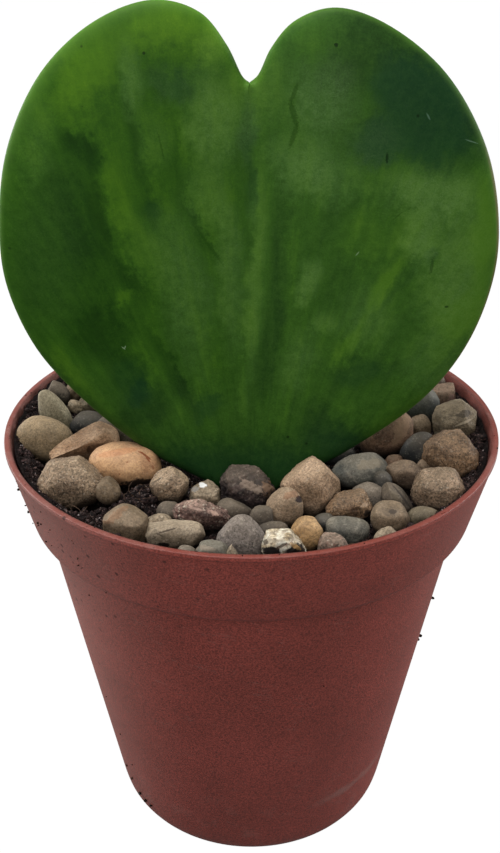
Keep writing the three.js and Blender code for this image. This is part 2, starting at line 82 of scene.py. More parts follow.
# ---------------------------------------------------------------- small helpers
def paint(code: str, shade: float = 1.0) -> Colour:
    """A six-digit display colour as the linear colour that a shader takes.

    Args:
        code: red, green and blue as two hexadecimal digits each.
        shade: a factor on its brightness.

    Returns:
        Red, green, blue and an alpha of 1.
    """
    parts = [int(code[i : i + 2], 16) / 255 for i in (0, 2, 4)]
    linear = [c / 12.92 if c <= 0.04045 else ((c + 0.055) / 1.055) ** 2.4 for c in parts]
    return (linear[0] * shade, linear[1] * shade, linear[2] * shade, 1.0)


def make_object(
    name: str, points: np.ndarray, faces: Iterable[Sequence[int]], smooth: bool = True
) -> bpy.types.Object:
    """A mesh object at the origin.

    Args:
        name: the object's name.
        points: its vertices, in millimetres.
        faces: vertex numbers of each face.
        smooth: whether its faces are shaded smooth.

    Returns:
        The object, linked to the scene.
    """
    mesh = bpy.data.meshes.new(name)
    mesh.from_pydata((np.asarray(points) * MM).tolist(), [], [tuple(face) for face in faces])
    mesh.polygons.foreach_set("use_smooth", [smooth] * len(mesh.polygons))
    mesh.update()
    made = bpy.data.objects.new(name, mesh)
    bpy.context.scene.collection.objects.link(made)
    return made


def baked_down(source: bpy.types.Object, name: str) -> bpy.types.Object:
    """The source as its modifiers leave it, as a plain mesh object. The source is removed.

    Args:
        source: an object with live modifiers.
        name: the new object's name.

    Returns:
        The plain object.
    """
    graph = bpy.context.evaluated_depsgraph_get()
    mesh = bpy.data.meshes.new_from_object(source.evaluated_get(graph), depsgraph=graph)
    bpy.data.objects.remove(source)
    mesh.name = name
    made = bpy.data.objects.new(name, mesh)
    bpy.context.scene.collection.objects.link(made)
    return made


def node_box(node: str) -> tuple[np.ndarray, np.ndarray]:
    """The lowest and highest corner of a frame node, in millimetres."""
    low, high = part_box(node)
    return np.array(low) / MM, np.array(high) / MM


def surface_of(objects: Iterable[bpy.types.Object]) -> BVHTree:
    """One search tree over the triangles of several objects that sit at the origin.

    Args:
        objects: mesh objects.

    Returns:
        The tree, in metres.
    """
    points: list[Vector] = []
    faces: list[tuple[int, ...]] = []
    for item in objects:
        start = len(points)
        points += [v.co.copy() for v in item.data.vertices]
        faces += [tuple(start + i for i in p.vertices) for p in item.data.polygons]
    return BVHTree.FromPolygons(points, faces)


def ring_faces(rings: int, sectors: int) -> list[tuple[int, ...]]:
    """The quads between rings of points that follow each other.

    Args:
        rings: how many bands of quads there are.
        sectors: how many points each ring has.

    Returns:
        Vertex numbers of each quad.
    """
    faces: list[tuple[int, ...]] = []
    for ring in range(rings):
        for k in range(sectors):
            a, b = ring * sectors + k, ring * sectors + (k + 1) % sectors
            faces.append((a, a + sectors, b + sectors, b))
    return faces


def ball_of(detail: int, radius: float) -> tuple[np.ndarray, list[tuple[int, ...]]]:
    """An even ball of triangles about the origin.

    Args:
        detail: how often its triangles are divided.
        radius: its radius.

    Returns:
        Its points, and vertex numbers of each triangle.
    """
    ball = bmesh.new()
    bmesh.ops.create_icosphere(ball, subdivisions=detail, radius=radius)
    points = np.array([v.co for v in ball.verts])
    triangles = [tuple(v.index for v in f.verts) for f in ball.faces]
    ball.free()
    return points, triangles


class Waves:
    """A smooth random field: a sum of seeded plane waves of about one length."""

    def __init__(self, seed: int, length: float, count: int = 12) -> None:
        """Draws the waves.

        Args:
            seed: seed of the draw.
            length: about how long one wave is, in the unit of the points.
            count: how many waves are summed.
        """
        draw = np.random.default_rng(seed)
        heading = draw.normal(size=(count, 3))
        heading /= np.linalg.norm(heading, axis=1, keepdims=True)
        self.along = heading * (2 * math.pi / length) * draw.uniform(0.7, 1.4, (count, 1))
        self.phase = draw.uniform(0, 2 * math.pi, count)

    def at(self, points: np.ndarray) -> np.ndarray:
        """The field at each point, mostly between -1 and 1."""
        count = len(self.phase)
        return np.sin(points @ self.along.T + self.phase).sum(axis=1) / math.sqrt(count)


# ---------------------------------------------------------------- node trees as expressions
class Wire:
    """A socket in a node tree. Arithmetic on it adds the Math or Vector Math nodes that it needs."""

    def __init__(self, recipe: "Recipe", socket: bpy.types.NodeSocket) -> None:
        """Keeps the recipe and the socket."""
        self.recipe = recipe
        self.socket = socket

    @property
    def is_vector(self) -> bool:
        """Whether the socket carries a vector."""
        return self.socket.type == "VECTOR"

    def _math(self, operation: str, first: "Wire | float", second: "Wire | float") -> "Wire":
        """A Math node, or a Vector Math node where a vector takes part.

        Args:
            operation: what the node does.
            first: its first term.
            second: its second term.

        Returns:
            The result.
        """
        terms = [first, second]
        vector = any(isinstance(term, Wire) and term.is_vector for term in terms)
        if vector:
            terms = [term if isinstance(term, Wire) else (term, term, term) for term in terms]
        kind = "ShaderNodeVectorMath" if vector else "ShaderNodeMath"
        return self.recipe.node(kind, {"operation": operation}, dict(enumerate(terms)))

    def __add__(self, other: "Wire | float") -> "Wire":
        """This plus other."""
        return self._math("ADD", self, other)

    def __radd__(self, other: float) -> "Wire":
        """Other plus this."""
        return self._math("ADD", other, self)

    def __sub__(self, other: "Wire | float") -> "Wire":
        """This minus other."""
        return self._math("SUBTRACT", self, other)

    def __rsub__(self, other: float) -> "Wire":
        """Other minus this."""
        return self._math("SUBTRACT", other, self)

    def __mul__(self, other: "Wire | float") -> "Wire":
        """This times other."""
        return self._math("MULTIPLY", self, other)

    def __rmul__(self, other: float) -> "Wire":
        """Other times this."""
        return self._math("MULTIPLY", other, self)

    def __truediv__(self, other: "Wire | float") -> "Wire":
        """This over other."""
        return self._math("DIVIDE", self, other)

    def __pow__(self, other: float) -> "Wire":
        """This to a power."""
        return self._math("POWER", self, other)


class Recipe:
    """A node tree under construction."""

    def __init__(self, tree: bpy.types.NodeTree) -> None:
        """Keeps the tree."""
        self.tree = tree

    @staticmethod
    def _find(sockets: Iterable[bpy.types.NodeSocket], key: int | str) -> bpy.types.NodeSocket:
        """A socket by number or by name among those in use.

        Args:
            sockets: a node's inputs or outputs.
            key: the number or the name.

        Returns:
            The socket.
        """
        if isinstance(key, int):
            return list(sockets)[key]
        return next(s for s in sockets if s.enabled and s.name == key)

    def node(
        self, kind: str, settings: dict[str, object] | None = None,
        inputs: dict[int | str, object] | None = None, output: int | str = 0,
    ) -> Wire:
        """Adds a node.

        Args:
            kind: the node's type.
            settings: its properties, set first. "stops" are a ramp's positions and colours.
            inputs: values or wires, by socket number or name.
            output: the socket to return.

        Returns:
            That output socket.
        """
        made = self.tree.nodes.new(kind)
        for name, value in (settings or {}).items():
            if name == "stops":
                self._stop(made.color_ramp, value)
            else:
                setattr(made, name, value)
        for key, value in (inputs or {}).items():
            self.feed(self._find(made.inputs, key), value)
        return Wire(self, self._find(made.outputs, output))

    @staticmethod
    def _stop(ramp: bpy.types.ColorRamp, stops: Sequence[tuple[float, Colour]]) -> None:
        """Sets a colour ramp's stops.

        Args:
            ramp: the ramp.
            stops: each stop's position and colour, in order.
        """
        while len(ramp.elements) > 1:
            ramp.elements.remove(ramp.elements[-1])
        ramp.elements[0].position, ramp.elements[0].color = stops[0]
        for position, colour in stops[1:]:
            ramp.elements.new(position).color = colour

    def feed(self, socket: bpy.types.NodeSocket, value: object) -> None:
        """Links a wire to a socket, or sets the socket's own value.

        Args:
            socket: the socket.
            value: a wire, or the value itself.
        """
        if isinstance(value, Wire):
            self.tree.links.new(value.socket, socket)
        else:
            socket.default_value = value

    def combine(self, x: Wire | float, y: Wire | float, z: Wire | float = 0.0) -> Wire:
        """A vector of three numbers."""
        return self.node("ShaderNodeCombineXYZ", inputs={0: x, 1: y, 2: z})

    def split(self, vector: Wire) -> tuple[Wire, Wire, Wire]:
        """The three numbers of a vector.

        Args:
            vector: the vector.

        Returns:
            Its x, y and z.
        """
        x = self.node("ShaderNodeSeparateXYZ", inputs={0: vector})
        outputs = x.socket.node.outputs
        return x, Wire(self, outputs[1]), Wire(self, outputs[2])

    def math(self, operation: str, *terms: Wire | float) -> Wire:
        """A Math node of a named operation."""
        return self.node("ShaderNodeMath", {"operation": operation}, dict(enumerate(terms)))

    def length(self, vector: Wire) -> Wire:
        """A vector's length."""
        return self.node("ShaderNodeVectorMath", {"operation": "LENGTH"}, {0: vector}, "Value")

    def dot(self, vector: Wire, other: Vec) -> Wire:
        """How far a vector reaches along another."""
        return self.node("ShaderNodeVectorMath", {"operation": "DOT_PRODUCT"}, {0: vector, 1: other}, "Value")

    def oval(self, at: Wire, middle: Place, half: Place, turn: float) -> Wire:
        """How far a flat place is from an oval's middle, 1 at its edge.

        Args:
            at: the place.
            middle: the oval's middle.
            half: its half width and half height.
            turn: how far it is turned, in degrees.

        Returns:
            The distance.
        """
        cos, sin = math.cos(math.radians(turn)), math.sin(math.radians(turn))
        (x, y), (wide, high) = middle, half
        along = self.dot(at, (cos / wide, sin / wide, 0.0)) - (cos * x + sin * y) / wide
        beside = self.dot(at, (-sin / high, cos / high, 0.0)) - (cos * y - sin * x) / high
        return self.length(self.combine(along, beside))

    def noise(
        self, at: Wire, scale: float, detail: float = 3.0, roughness: float = 0.55, distortion: float = 0.0
    ) -> Wire:
        """A cloudy field from 0 to 1, about 0.5 on average."""
        inputs = {"Vector": at, "Scale": scale, "Detail": detail, "Roughness": roughness}
        return self.node("ShaderNodeTexNoise", inputs={**inputs, "Distortion": distortion})

    def cells(self, at: Wire, scale: float, output: str = "Color") -> Wire:
        """Random cells: their random colour, or the distance to each cell's middle."""
        return self.node("ShaderNodeTexVoronoi", inputs={"Vector": at, "Scale": scale}, output=output)

    def reach(self, value: Wire, start: float, end: float, low: float = 0.0, high: float = 1.0) -> Wire:
        """A smooth step: low at start, high at end, clamped on both sides."""
        inputs = {"Value": value, "From Min": start, "From Max": end, "To Min": low, "To Max": high}
        return self.node("ShaderNodeMapRange", {"interpolation_type": "SMOOTHSTEP"}, inputs)

    def blend(
        self, factor: Wire | float, first: Wire | Colour, second: Wire | Colour, way: str = "MIX"
    ) -> Wire:
        """One colour laid over another by a factor."""
        settings = {"data_type": "RGBA", "blend_type": way, "clamp_factor": True}
        return self.node("ShaderNodeMix", settings, {"Factor": factor, "A": first, "B": second}, "Result")

    def ramp(self, value: Wire, stops: Sequence[tuple[float, Colour]]) -> Wire:
        """A colour that runs through stops."""
        return self.node("ShaderNodeValToRGB", {"stops": stops}, {0: value})

    def placed(self, at: Wire, middle: Vec, turn: Vec = (0.0, 0.0, 0.0), size: Vec = (1.0, 1.0, 1.0)) -> Wire:
        """Coordinates about a middle, turned back and divided by a size."""
        inputs = {"Vector": at, "Location": middle, "Rotation": turn, "Scale": size}
        return self.node("ShaderNodeMapping", {"vector_type": "TEXTURE"}, inputs)


class Coat(Recipe):
    """A material's recipe: a Principled surface and what feeds it."""

    def __init__(self, name: str, **constants: object) -> None:
        """Makes the material.

        Args:
            name: the material's name.
            constants: the surface's own values, by socket name with _ for a space.
        """
        self.material = bpy.data.materials.new(name)
        self.material.use_nodes = True
        super().__init__(self.material.node_tree)
        self.tree.nodes.clear()
        self.surface = self.tree.nodes.new("ShaderNodeBsdfPrincipled")
        output = self.tree.nodes.new("ShaderNodeOutputMaterial")
        self.tree.links.new(self.surface.outputs[0], output.inputs["Surface"])
        self.set(**constants)

    def set(self, **values: object) -> None:
        """Sets or links the surface's sockets.

        Args:
            values: wires or values, by the socket's name with _ for a space.
        """
        for name, value in values.items():
            label = " ".join(word.upper() if word == "ior" else word.capitalize() for word in name.split("_"))
            self.feed(self.surface.inputs[label], value)

    def place(self) -> Wire:
        """The piece's own coordinates, in millimetres."""
        return self.node("ShaderNodeTexCoord", output="Object") * (1 / MM)

    def attribute(self, name: str, output: str = "Vector") -> Wire:
        """A value that the mesh carries."""
        return self.node("ShaderNodeAttribute", {"attribute_name": name}, output=output)

    def relief(self, height: Wire, depth: float, strength: float = 1.0) -> None:
        """Bumps the surface.

        Args:
            height: a field of about 0 to 1.
            depth: how many millimetres 0 to 1 stands for.
            strength: how much of the bump shows.
        """
        inputs = {"Strength": strength, "Distance": depth * MM, "Height": height}
        self.set(normal=self.node("ShaderNodeBump", inputs=inputs))


class GeometryTree(Recipe):
    """A Geometry Nodes tree with named inputs."""

    KINDS = {
        "Geometry": "NodeSocketGeometry", "Finish": "NodeSocketMaterial", "Seed": "NodeSocketInt",
        "Sectors": "NodeSocketInt", "Holes": "NodeSocketInt",
    }

    def __init__(self, name: str, inputs: Sequence[str]) -> None:
        """Makes the tree with its interface.

        Args:
            name: the tree's name.
            inputs: the names of its inputs after Geometry. A name that isn't in KINDS is a number.
        """
        tree = bpy.data.node_groups.new(name, "GeometryNodeTree")
        tree.is_modifier = True
        for label in ("Geometry", *inputs):
            kind = self.KINDS.get(label, "NodeSocketFloat")
            tree.interface.new_socket(label, in_out="INPUT", socket_type=kind)
        tree.interface.new_socket("Geometry", in_out="OUTPUT", socket_type="NodeSocketGeometry")
        super().__init__(tree)
        self.entry = tree.nodes.new("NodeGroupInput")

    def given(self, name: str) -> Wire:
        """One of the tree's inputs."""
        return Wire(self, self.entry.outputs[name])

    def strewn(self) -> Wire:
        """Points strewn where the mesh lies bare, by the inputs Density and Seed.

        Returns:
            The points.
        """
        kind = {"data_type": "FLOAT"}
        bare = self.node("GeometryNodeInputNamedAttribute", kind, {"Name": "bare"}, "Attribute")
        density = bare * self.given("Density")
        inputs = {"Mesh": self.given("Geometry"), "Density": density, "Seed": self.given("Seed")}
        return self.node("GeometryNodeDistributePointsOnFaces", inputs=inputs)

    def drawn(self, low: Wire | float | Vec, high: Wire | float | Vec, draw: float) -> Wire:
        """A random number or vector for each point.

        Args:
            low: the least it can be.
            high: the most it can be.
            draw: tells this draw from the tree's others.

        Returns:
            The number or vector.
        """
        vector = isinstance(low, tuple)
        settings = {"data_type": "FLOAT_VECTOR" if vector else "FLOAT"}
        inputs = {"Min": low, "Max": high, "Seed": self.given("Seed") + draw}
        return self.node("FunctionNodeRandomValue", settings, inputs, 0 if vector else "Value")

    def finish(self, shape: Wire) -> None:
        """Ends the tree: instances made real, and the finish set.

        Args:
            shape: the geometry that the tree has made.
        """
        real = self.node("GeometryNodeRealizeInstances", inputs={0: shape})
        inputs = {"Geometry": real, "Material": self.given("Finish")}
        dressed = self.node("GeometryNodeSetMaterial", inputs=inputs)
        output = self.tree.nodes.new("NodeGroupOutput")
        self.tree.links.new(dressed.socket, output.inputs[0])

    def run(self, source: bpy.types.Object, name: str, **values: object) -> bpy.types.Object:
        """Runs the tree on an object and keeps the result as a plain mesh.

        Args:
            source: the object that the tree starts from. It is removed.
            name: the new object's name.
            values: the tree's inputs, by name with _ for a space.

        Returns:
            The plain object.
        """
        modifier = source.modifiers.new(self.tree.name, "NODES")
        modifier.node_group = self.tree
        named = {s.name: s.identifier for s in self.tree.interface.items_tree if s.in_out == "INPUT"}
        for key, value in values.items():
            label = key.replace("_", " ").title()
            modifier[named[label]] = value
        return baked_down(source, name)


# ---------------------------------------------------------------- finishes
@dataclass(frozen=True)
class PotFinish:
    """Red-brown moulded plastic: a fine grain, dust, scuffs, flecks of peat and a soiled inside with painted
    shade; painted shade on the lip's top and towards the foot, and a painted sheen on both flanks.
    """

    main: str = "9f4b41"
    cloud: str = "8f4339"
    # painted shade: the lip's top face is darkened against the overhead lamp
    lip: str = "6f3127"
    # dust, and the painted sheen on both flanks
    dust: str = "b09a90"
    # peat dirt, and the painted shade towards the foot and on the inside
    dirt_and_shade: str = "2a1815"
    grain: float = 0.2
    grain_depth: float = 0.07
    grain_contrast: float = 0.62

    def material(self) -> bpy.types.Material:
        """The pot's material.

        Returns:
            The material.
        """
        coat = Coat("pot_plastic", roughness=0.48, specular_ior_level=0.4)
        at = coat.place()
        x, y, z = coat.split(at)
        away = coat.length(coat.combine(x, y))
        grain = coat.noise(at, 1 / self.grain, detail=3, roughness=0.7)
        cloud = coat.noise(at, 0.08, detail=4)
        rubbed = coat.noise(at, 0.35, detail=5)
        top = coat.reach(z, 54.75, 54.95)
        colour = coat.blend(coat.reach(cloud, 0.3, 0.7), paint(self.cloud), paint(self.main))
        colour = coat.blend(self.grain_contrast, colour, coat.reach(grain, 0.28, 0.72, 0.06, 0.92), "OVERLAY")
        # painted shade on the lip's top face
        colour = coat.blend(top * 0.8, colour, paint(self.lip))
        ring = coat.math("ABSOLUTE", z - 9.0 - (x - 14) * 0.12 + (coat.noise(at, 0.5) - 0.5) * 1.6)
        side = coat.reach(x, 6, 12) * coat.reach(x, 19, 15) * coat.reach(y, 0, -4)
        dust = coat.reach(ring, 1.1, 0.1) * side * 0.25
        dust = dust + coat.reach(rubbed, 0.5, 0.75) * coat.reach(z, 16, 2) * 0.1
        dust = dust + top * coat.reach(rubbed + grain * 0.4, 0.6, 0.95, 0.0, 0.14)
        scuff = coat.noise(coat.placed(at, (0, 0, 0), (0.0, 0.2, 0.5), (7.0, 7.0, 0.35)), 1.0, detail=3)
        scuffed = coat.reach(coat.math("ABSOLUTE", scuff - 0.5), 0.012, 0.0)
        dust = dust + scuffed * coat.reach(rubbed, 0.52, 0.62) * 0.22
        # painted sheen: both flanks, the left one most, turn paler as a painted reflection, less on the lip
        flank = (coat.reach(x, 13, 29, 0.0, 0.13) + coat.reach(x, -7, -25, 0.0, 0.3)) * (1.0 - top * 0.75)
        colour = coat.blend(dust + flank, colour, paint(self.dust))
        # painted shade: the pot darkens towards its foot
        colour = coat.blend(coat.reach(z, 34, 2) * 0.13, colour, paint(self.dirt_and_shade))
        for size, share, strength in ((0.9, 0.985, 0.7), (1.9, 0.975, 0.6)):
            near = coat.reach(coat.cells(at, size, "Distance"), 0.3, 0.16)
            chosen = coat.reach(coat.split(coat.cells(at, size))[0], share - 0.1, share - 0.08)
            upper = coat.reach(z * 0.7 - x, 24, 52, 0.12, 1.0)
            colour = coat.blend(near * chosen * upper * strength, colour, paint(self.dirt_and_shade))
        # the inside: a peat stain and painted shade, darker below the rim
        shell = away - coat.reach(z, 45.3, 53.3, 27.5, 29.6)
        inner_lip = coat.reach(away, 29.6, 29.3) * top
        inside = coat.math("MAXIMUM", coat.reach(shell, -0.25, -0.42), inner_lip) * coat.reach(z, 45.6, 46.2)
        stain = coat.reach(z + (rubbed - 0.5) * 2.6, 54.9, 53.3, 0.36, 0.92)
        colour = coat.blend(inside * stain, colour, paint(self.dirt_and_shade))
        coat.set(base_color=colour, roughness=coat.reach(grain, 0.25, 0.75, 0.4, 0.58))
        coat.relief(grain, self.grain_depth, 0.8)
        return coat.material


@dataclass(frozen=True)
class SoilFinish:
    """Moist peat: near-black with brown and reddish flecks."""

    name: str = "peat"
    dark: str = "090606"
    light: str = "1c1311"
    roughness: float = 0.85
    shine: float = 0.12

    def material(self) -> bpy.types.Material:
        """The soil's material.

        Returns:
            The material.
        """
        coat = Coat(self.name, specular_ior_level=self.shine)
        at = coat.place()
        mix = coat.noise(at, 2.8, detail=4, roughness=0.75)
        fleck = coat.split(coat.cells(at, 4.5))[0]
        colour = coat.blend(coat.reach(mix, 0.35, 0.75), paint(self.dark), paint(self.light))
        colour = coat.blend(coat.reach(fleck, 0.75, 0.95) * 0.7, colour, paint(self.light, 1.9))
        rough = coat.reach(mix, 0.3, 0.8, self.roughness, self.roughness - 0.25)
        coat.set(base_color=colour, roughness=rough)
        coat.relief(mix * 0.6 + fleck * 0.4, 0.4, 0.9)
        return coat.material


@dataclass(frozen=True)
class Patch:
    """A soft lighter or darker place on the blade, or one with a painted sheen, in its own plane."""

    across: float
    up: float
    wide: float
    high: float
    turn: float
    gain: float
    tint: float = 0.0
    painted_sheen: float = 0.0


@dataclass(frozen=True)
class Nick:
    """A small sharp scratch, crack or dot on the blade, in its own plane."""

    across: float
    up: float
    wide: float
    high: float
    turn: float
    colour: str
    strength: float


@dataclass(frozen=True)
class LeafFinish:
    """A waxy leaf: feathered patches and streaks that fan out from its foot, scratched, with a painted sheen,
    a painted highlight along its rim and painted shade at its foot and upper right rim.
    """

    stops: tuple[tuple[float, str], ...] = (
        (0.0, "0e2c08"), (0.25, "1f420d"), (0.5, "325a14"), (0.75, "4a7319"), (1.0, "648c20"),
    )
    # a cold dark green, of the leaf's own patches and of the painted shade at its foot
    cold: str = "0b381f"
    warm: str = "4c7812"
    # the colour of the painted sheen
    sheen_colour: str = "6c8e56"
    # the colour of the painted highlight along the rim
    rim: str = "5e8834"
    margin: str = "6b4f33"
    under: str = "46702c"
    pit: str = "0c1c08"
    fan_foot: float = -16.0
    base: float = 0.49
    patches: tuple[Patch, ...] = (
        Patch(-17.2, 44.7, 3.8, 3.1, 40, 0.22, 0.5),
        Patch(-9, 48.1, 4.9, 2.4, 5, 0.26, 0.45),
        Patch(-19.3, 39.8, 2.5, 3.1, 20, 0.16, 0.3),
        Patch(-9.1, 42.5, 2.5, 1.7, -25, -0.1, -0.5, 0.2),
        Patch(-6.3, 42.6, 2, 1.7, 10, -0.1, -0.3),
        Patch(-12.8, 42.9, 1.3, 3.4, 5, 0.1, 0, 0.4),
        Patch(-12.3, 35.8, 0.7, 4.5, 12, -0.12),
        Patch(-10.7, 29.1, 1.1, 2, 8, -0.15, -0.5),
        Patch(-7.9, 34, 0.6, 4.8, 2, -0.06, -0.1),
        Patch(-5.7, 26.7, 0.6, 3.6, 32, -0.15, -0.1),
        Patch(-4.4, 38.8, 2.6, 5.0, 8, 0.15, 0, 0.5),
        Patch(-3.2, 38.9, 1.3, 3.1, 4, 0.06, 0.2),
        Patch(-0.5, 37.6, 1.3, 3.1, 0, -0.12, -0.5, 0.3),
        Patch(0.2, 31.0, 0.8, 4.5, 4, -0.12, -0.5),
        Patch(0.9, 27.5, 1.0, 5.2, 0, 0.17, 0, 0.2),
        Patch(-18.4, 35.9, 2.2, 1.4, -40, -0.2, -0.1),
        Patch(-16.7, 29.8, 1, 6.2, 6, -0.14, 0.2),
        Patch(-13.7, 21.7, 1.1, 4, 28, -0.21, 0.2),
        Patch(-22.6, 25.0, 4.2, 10.0, -6, -0.14, 0.0, 0.1),
        Patch(-14.5, 31.4, 1.6, 4.8, 10, 0.12, 0.4),
        Patch(-11.6, 24.8, 1.8, 5.2, 18, 0.12, 0.3, 0.1),
        Patch(-7.4, 21.9, 2.7, 7.1, 18, 0.06, 0, 0.35),
        Patch(-17.3, 15.1, 3.8, 3.1, -20, -0.24, 0.2),
        Patch(-14.1, 10, 2.4, 3.1, 35, -0.2, -0.5),
        Patch(-12.4, 8.3, 1.6, 1.4, 40, -0.06, -0.4),
        Patch(-14.5, 19.2, 1, 1.2, 0, 0.18, 0.4),
        Patch(-20.7, 10.7, 1.1, 4, 35, 0.12, 0.3),
        Patch(-7.3, 14.4, 2.2, 5.2, 22, -0.06, 0, 0.2),
        Patch(-9.8, 11.9, 0.7, 5.2, 28, -0.14),
        Patch(-7.5, 7.7, 0.8, 3.1, 30, -0.11, -0.1),
        Patch(-5.1, 6.2, 2, 1.5, 20, -0.08, -0.6),
        Patch(0.2, 8.8, 1, 5.2, 0, -0.15),
        Patch(0.1, 17.5, 1.1, 7.1, -2, 0.2, 0, 0.3),
        Patch(3.4, 26.7, 1, 5, 0, -0.15, 0.1),
        Patch(2.1, 14.9, 1.1, 6.7, -6, -0.18, 0.1),
        Patch(18.4, 40.3, 5.4, 5.5, -25, -0.24, -1),
        Patch(20.2, 36.7, 5.2, 3.1, -20, -0.1, -0.7),
        Patch(13.3, 36.2, 2.9, 2.3, -8, -0.2, -0.9, 0.2),
        Patch(15.6, 43.0, 3.1, 3.1, -30, -0.16, -0.6),
        Patch(6.2, 46.9, 2.4, 2.2, 0, 0.05, 0.3),
        Patch(7.7, 41.0, 3.4, 4.2, 0, -0.05, 0, 0.5),
        Patch(4.4, 40, 0.4, 2.6, 0, -0.09, 0.4),
        Patch(5.3, 34.5, 3.4, 2.6, -20, 0.06, 0, 0.35),
        Patch(19.8, 31.0, 5.0, 2.7, -8, 0.17, 0, 0.6),
        Patch(18.5, 26.2, 2, 2.9, 0, 0.23, 0, 0.5),
        Patch(26.1, 25.8, 1.6, 7.1, 0, 0.12, 0.9),
        Patch(23.7, 17, 2.2, 4, -30, 0.18, 0.8),
        Patch(20.1, 24.2, 0.7, 1.5, -20, -0.1, -0.4),
        Patch(17.1, 21, 0.7, 3.6, -38, -0.09, -0.3),
        Patch(14.9, 20.6, 1, 3.8, -38, 0.2, 0.5),
        Patch(11.1, 14.7, 0.8, 3.1, -30, 0.2, 0.4),
        Patch(6.4, 21.2, 1.1, 2.5, -15, 0.18, 0, 0.5),
        Patch(8.2, 16.6, 1.2, 1.4, -20, 0.14, 0, 0.3),
        Patch(12.5, 26.2, 3.1, 3.1, 20, 0.12, 0.4),
        Patch(9.3, 20.8, 1.8, 3.6, -20, -0.11, 0.1),
        Patch(12.4, 10.6, 4.4, 2, 14, -0.17, -0.5),
        Patch(19.7, 12.1, 3.4, 1.7, 20, 0.02, 0.2),
        Patch(5.5, 12, 2, 3.6, -20, 0.03, 0, 0.25),
        Patch(9.1, 7, 2.7, 1.4, 20, -0.08),
        Patch(-18.2, 27.0, 2.5, 11.0, 4, -0.15, 0.1),
        Patch(-18.8, 38.2, 2.0, 2.6, 20, -0.14),
        Patch(-23.4, 36.2, 2.0, 4.0, -18, 0.12, 0.1, 0.15),
        Patch(-10.6, 36.6, 2.0, 2.8, 10, 0.12, 0.1, 0.15),
        Patch(-5.0, 30.5, 2.4, 3.6, 15, 0.12, 0, 0.3),
        Patch(-2.4, 22.0, 1.4, 9.0, 2, 0.07, 0, 0.35),
        Patch(0.3, 42.0, 4.0, 3.6, 0, 0.14, 0.3, 0.15),
        Patch(9.6, 44.6, 3.6, 3.4, 10, -0.16),
        Patch(8.0, 32.6, 4.6, 2.8, 0, 0.07, 0, 0.3),
        Patch(22.4, 22.0, 3.6, 7.5, -6, 0.14, 0, 0.42),
        Patch(20.4, 11.5, 3.6, 3.6, 20, 0.04, 0, 0.25),
        Patch(13.0, 17.0, 3.2, 3.6, -20, 0.07, 0, 0.25),
        Patch(3.2, 20.5, 1.1, 4.5, 0, -0.09),
        Patch(-0.9, 7.6, 0.9, 2.8, 0, 0.12, 0, 0.1),
        Patch(-4.0, 46.6, 1.5, 2.4, -10, 0.24, 0.2, 0.2),
        Patch(10.3, 27.6, 2.4, 4.2, 10, -0.1),
        Patch(17.5, 17.0, 1.6, 3.4, -30, -0.08),
        Patch(-12.4, 6.0, 4.6, 2.4, 33, -0.27, -0.3),
        Patch(9.4, 3.2, 4.6, 2.4, -30, -0.22, -0.4),
    )

    nicks: tuple[Nick, ...] = (
        Nick(4.6, 41.6, 0.26, 1.4, -20, "23460c", 0.6),
        Nick(4.5, 39.4, 0.34, 1.6, 16, "23460c", 0.6),
        Nick(4.6, 37.2, 0.3, 1.6, -18, "23460c", 0.6),
        Nick(8.9, 46.4, 0.24, 0.22, 0, "12260a", 0.9),
        Nick(14.6, 34.8, 0.16, 0.6, 0, "0e260c", 0.8),
        Nick(18.9, 39.1, 0.1, 0.4, 30, "6d8f78", 0.4),
        Nick(23.8, 36.4, 0.8, 0.07, -18, "7c9c84", 0.35),
        Nick(11.7, 24.4, 0.3, 0.07, 50, "8aa57c", 0.5),
        Nick(21.9, 18.3, 0.22, 0.15, 0, "12280a", 0.7),
        Nick(20.0, 23.0, 0.2, 1.1, -8, "17360e", 0.5),
        Nick(-14.5, 13.6, 0.26, 0.07, -40, "93ad88", 0.6),
        Nick(-14.3, 13.7, 0.07, 0.2, -20, "93ad88", 0.6),
        Nick(-26.9, 24.7, 0.22, 0.18, 0, "14260c", 0.5),
        Nick(-4.7, 25.2, 0.2, 2.4, 35, "1c4008", 0.4),
        Nick(-9.7, 36.0, 0.12, 1.6, 12, "24480c", 0.5),
        Nick(16.0, 28.6, 0.08, 1.0, -50, "24480c", 0.5),
    )

    def material(self) -> bpy.types.Material:
        """The leaf's material. It reads the blade's own plane from the mesh.

        Returns:
            The material.
        """
        coat = Coat("hoya_leaf", specular_ior_level=0.07)
        coat.set(subsurface_weight=0.08, subsurface_radius=(0.4, 1.0, 0.2), subsurface_scale=1.2 * MM)
        across, up, under = coat.split(coat.attribute("blade"))
        rim = coat.attribute("rim", "Fac")
        plane = coat.combine(across, up)
        angle = coat.math("ARCTAN2", across, up - self.fan_foot)
        away = coat.length(coat.combine(across, up - self.fan_foot))
        cloud = coat.noise(plane, 0.22, detail=3)
        broad = coat.noise(coat.combine(angle * 13, away * 0.06), 1.0, detail=3)
        fine = coat.noise(coat.combine(angle * 45, away * 0.14), 1.0, detail=4, roughness=0.65)
        comb = coat.noise(coat.combine(angle * 80 + 9.0, away * 0.3), 1.0, detail=3, roughness=0.6)
        mottle = coat.noise(plane, 1.0, detail=5, roughness=0.7)
        speck = coat.noise(plane, 4.5, detail=3, roughness=0.75)
        shift = coat.noise(plane + 40.0, 0.2) - 0.5
        wavy = coat.combine(
            across + (cloud - 0.5) * 3.0 + (mottle - 0.5) * 1.3,
            up + shift * 4.0 + (comb - 0.5) * 1.5 + (mottle - 0.5) * 3.0,
        )
        light = (broad - 0.5) * 0.4 + (fine - 0.5) * 0.3 + (mottle - 0.5) * 0.34 + (speck - 0.5) * 0.3
        light = light + (cloud - 0.5) * 0.2 + self.base
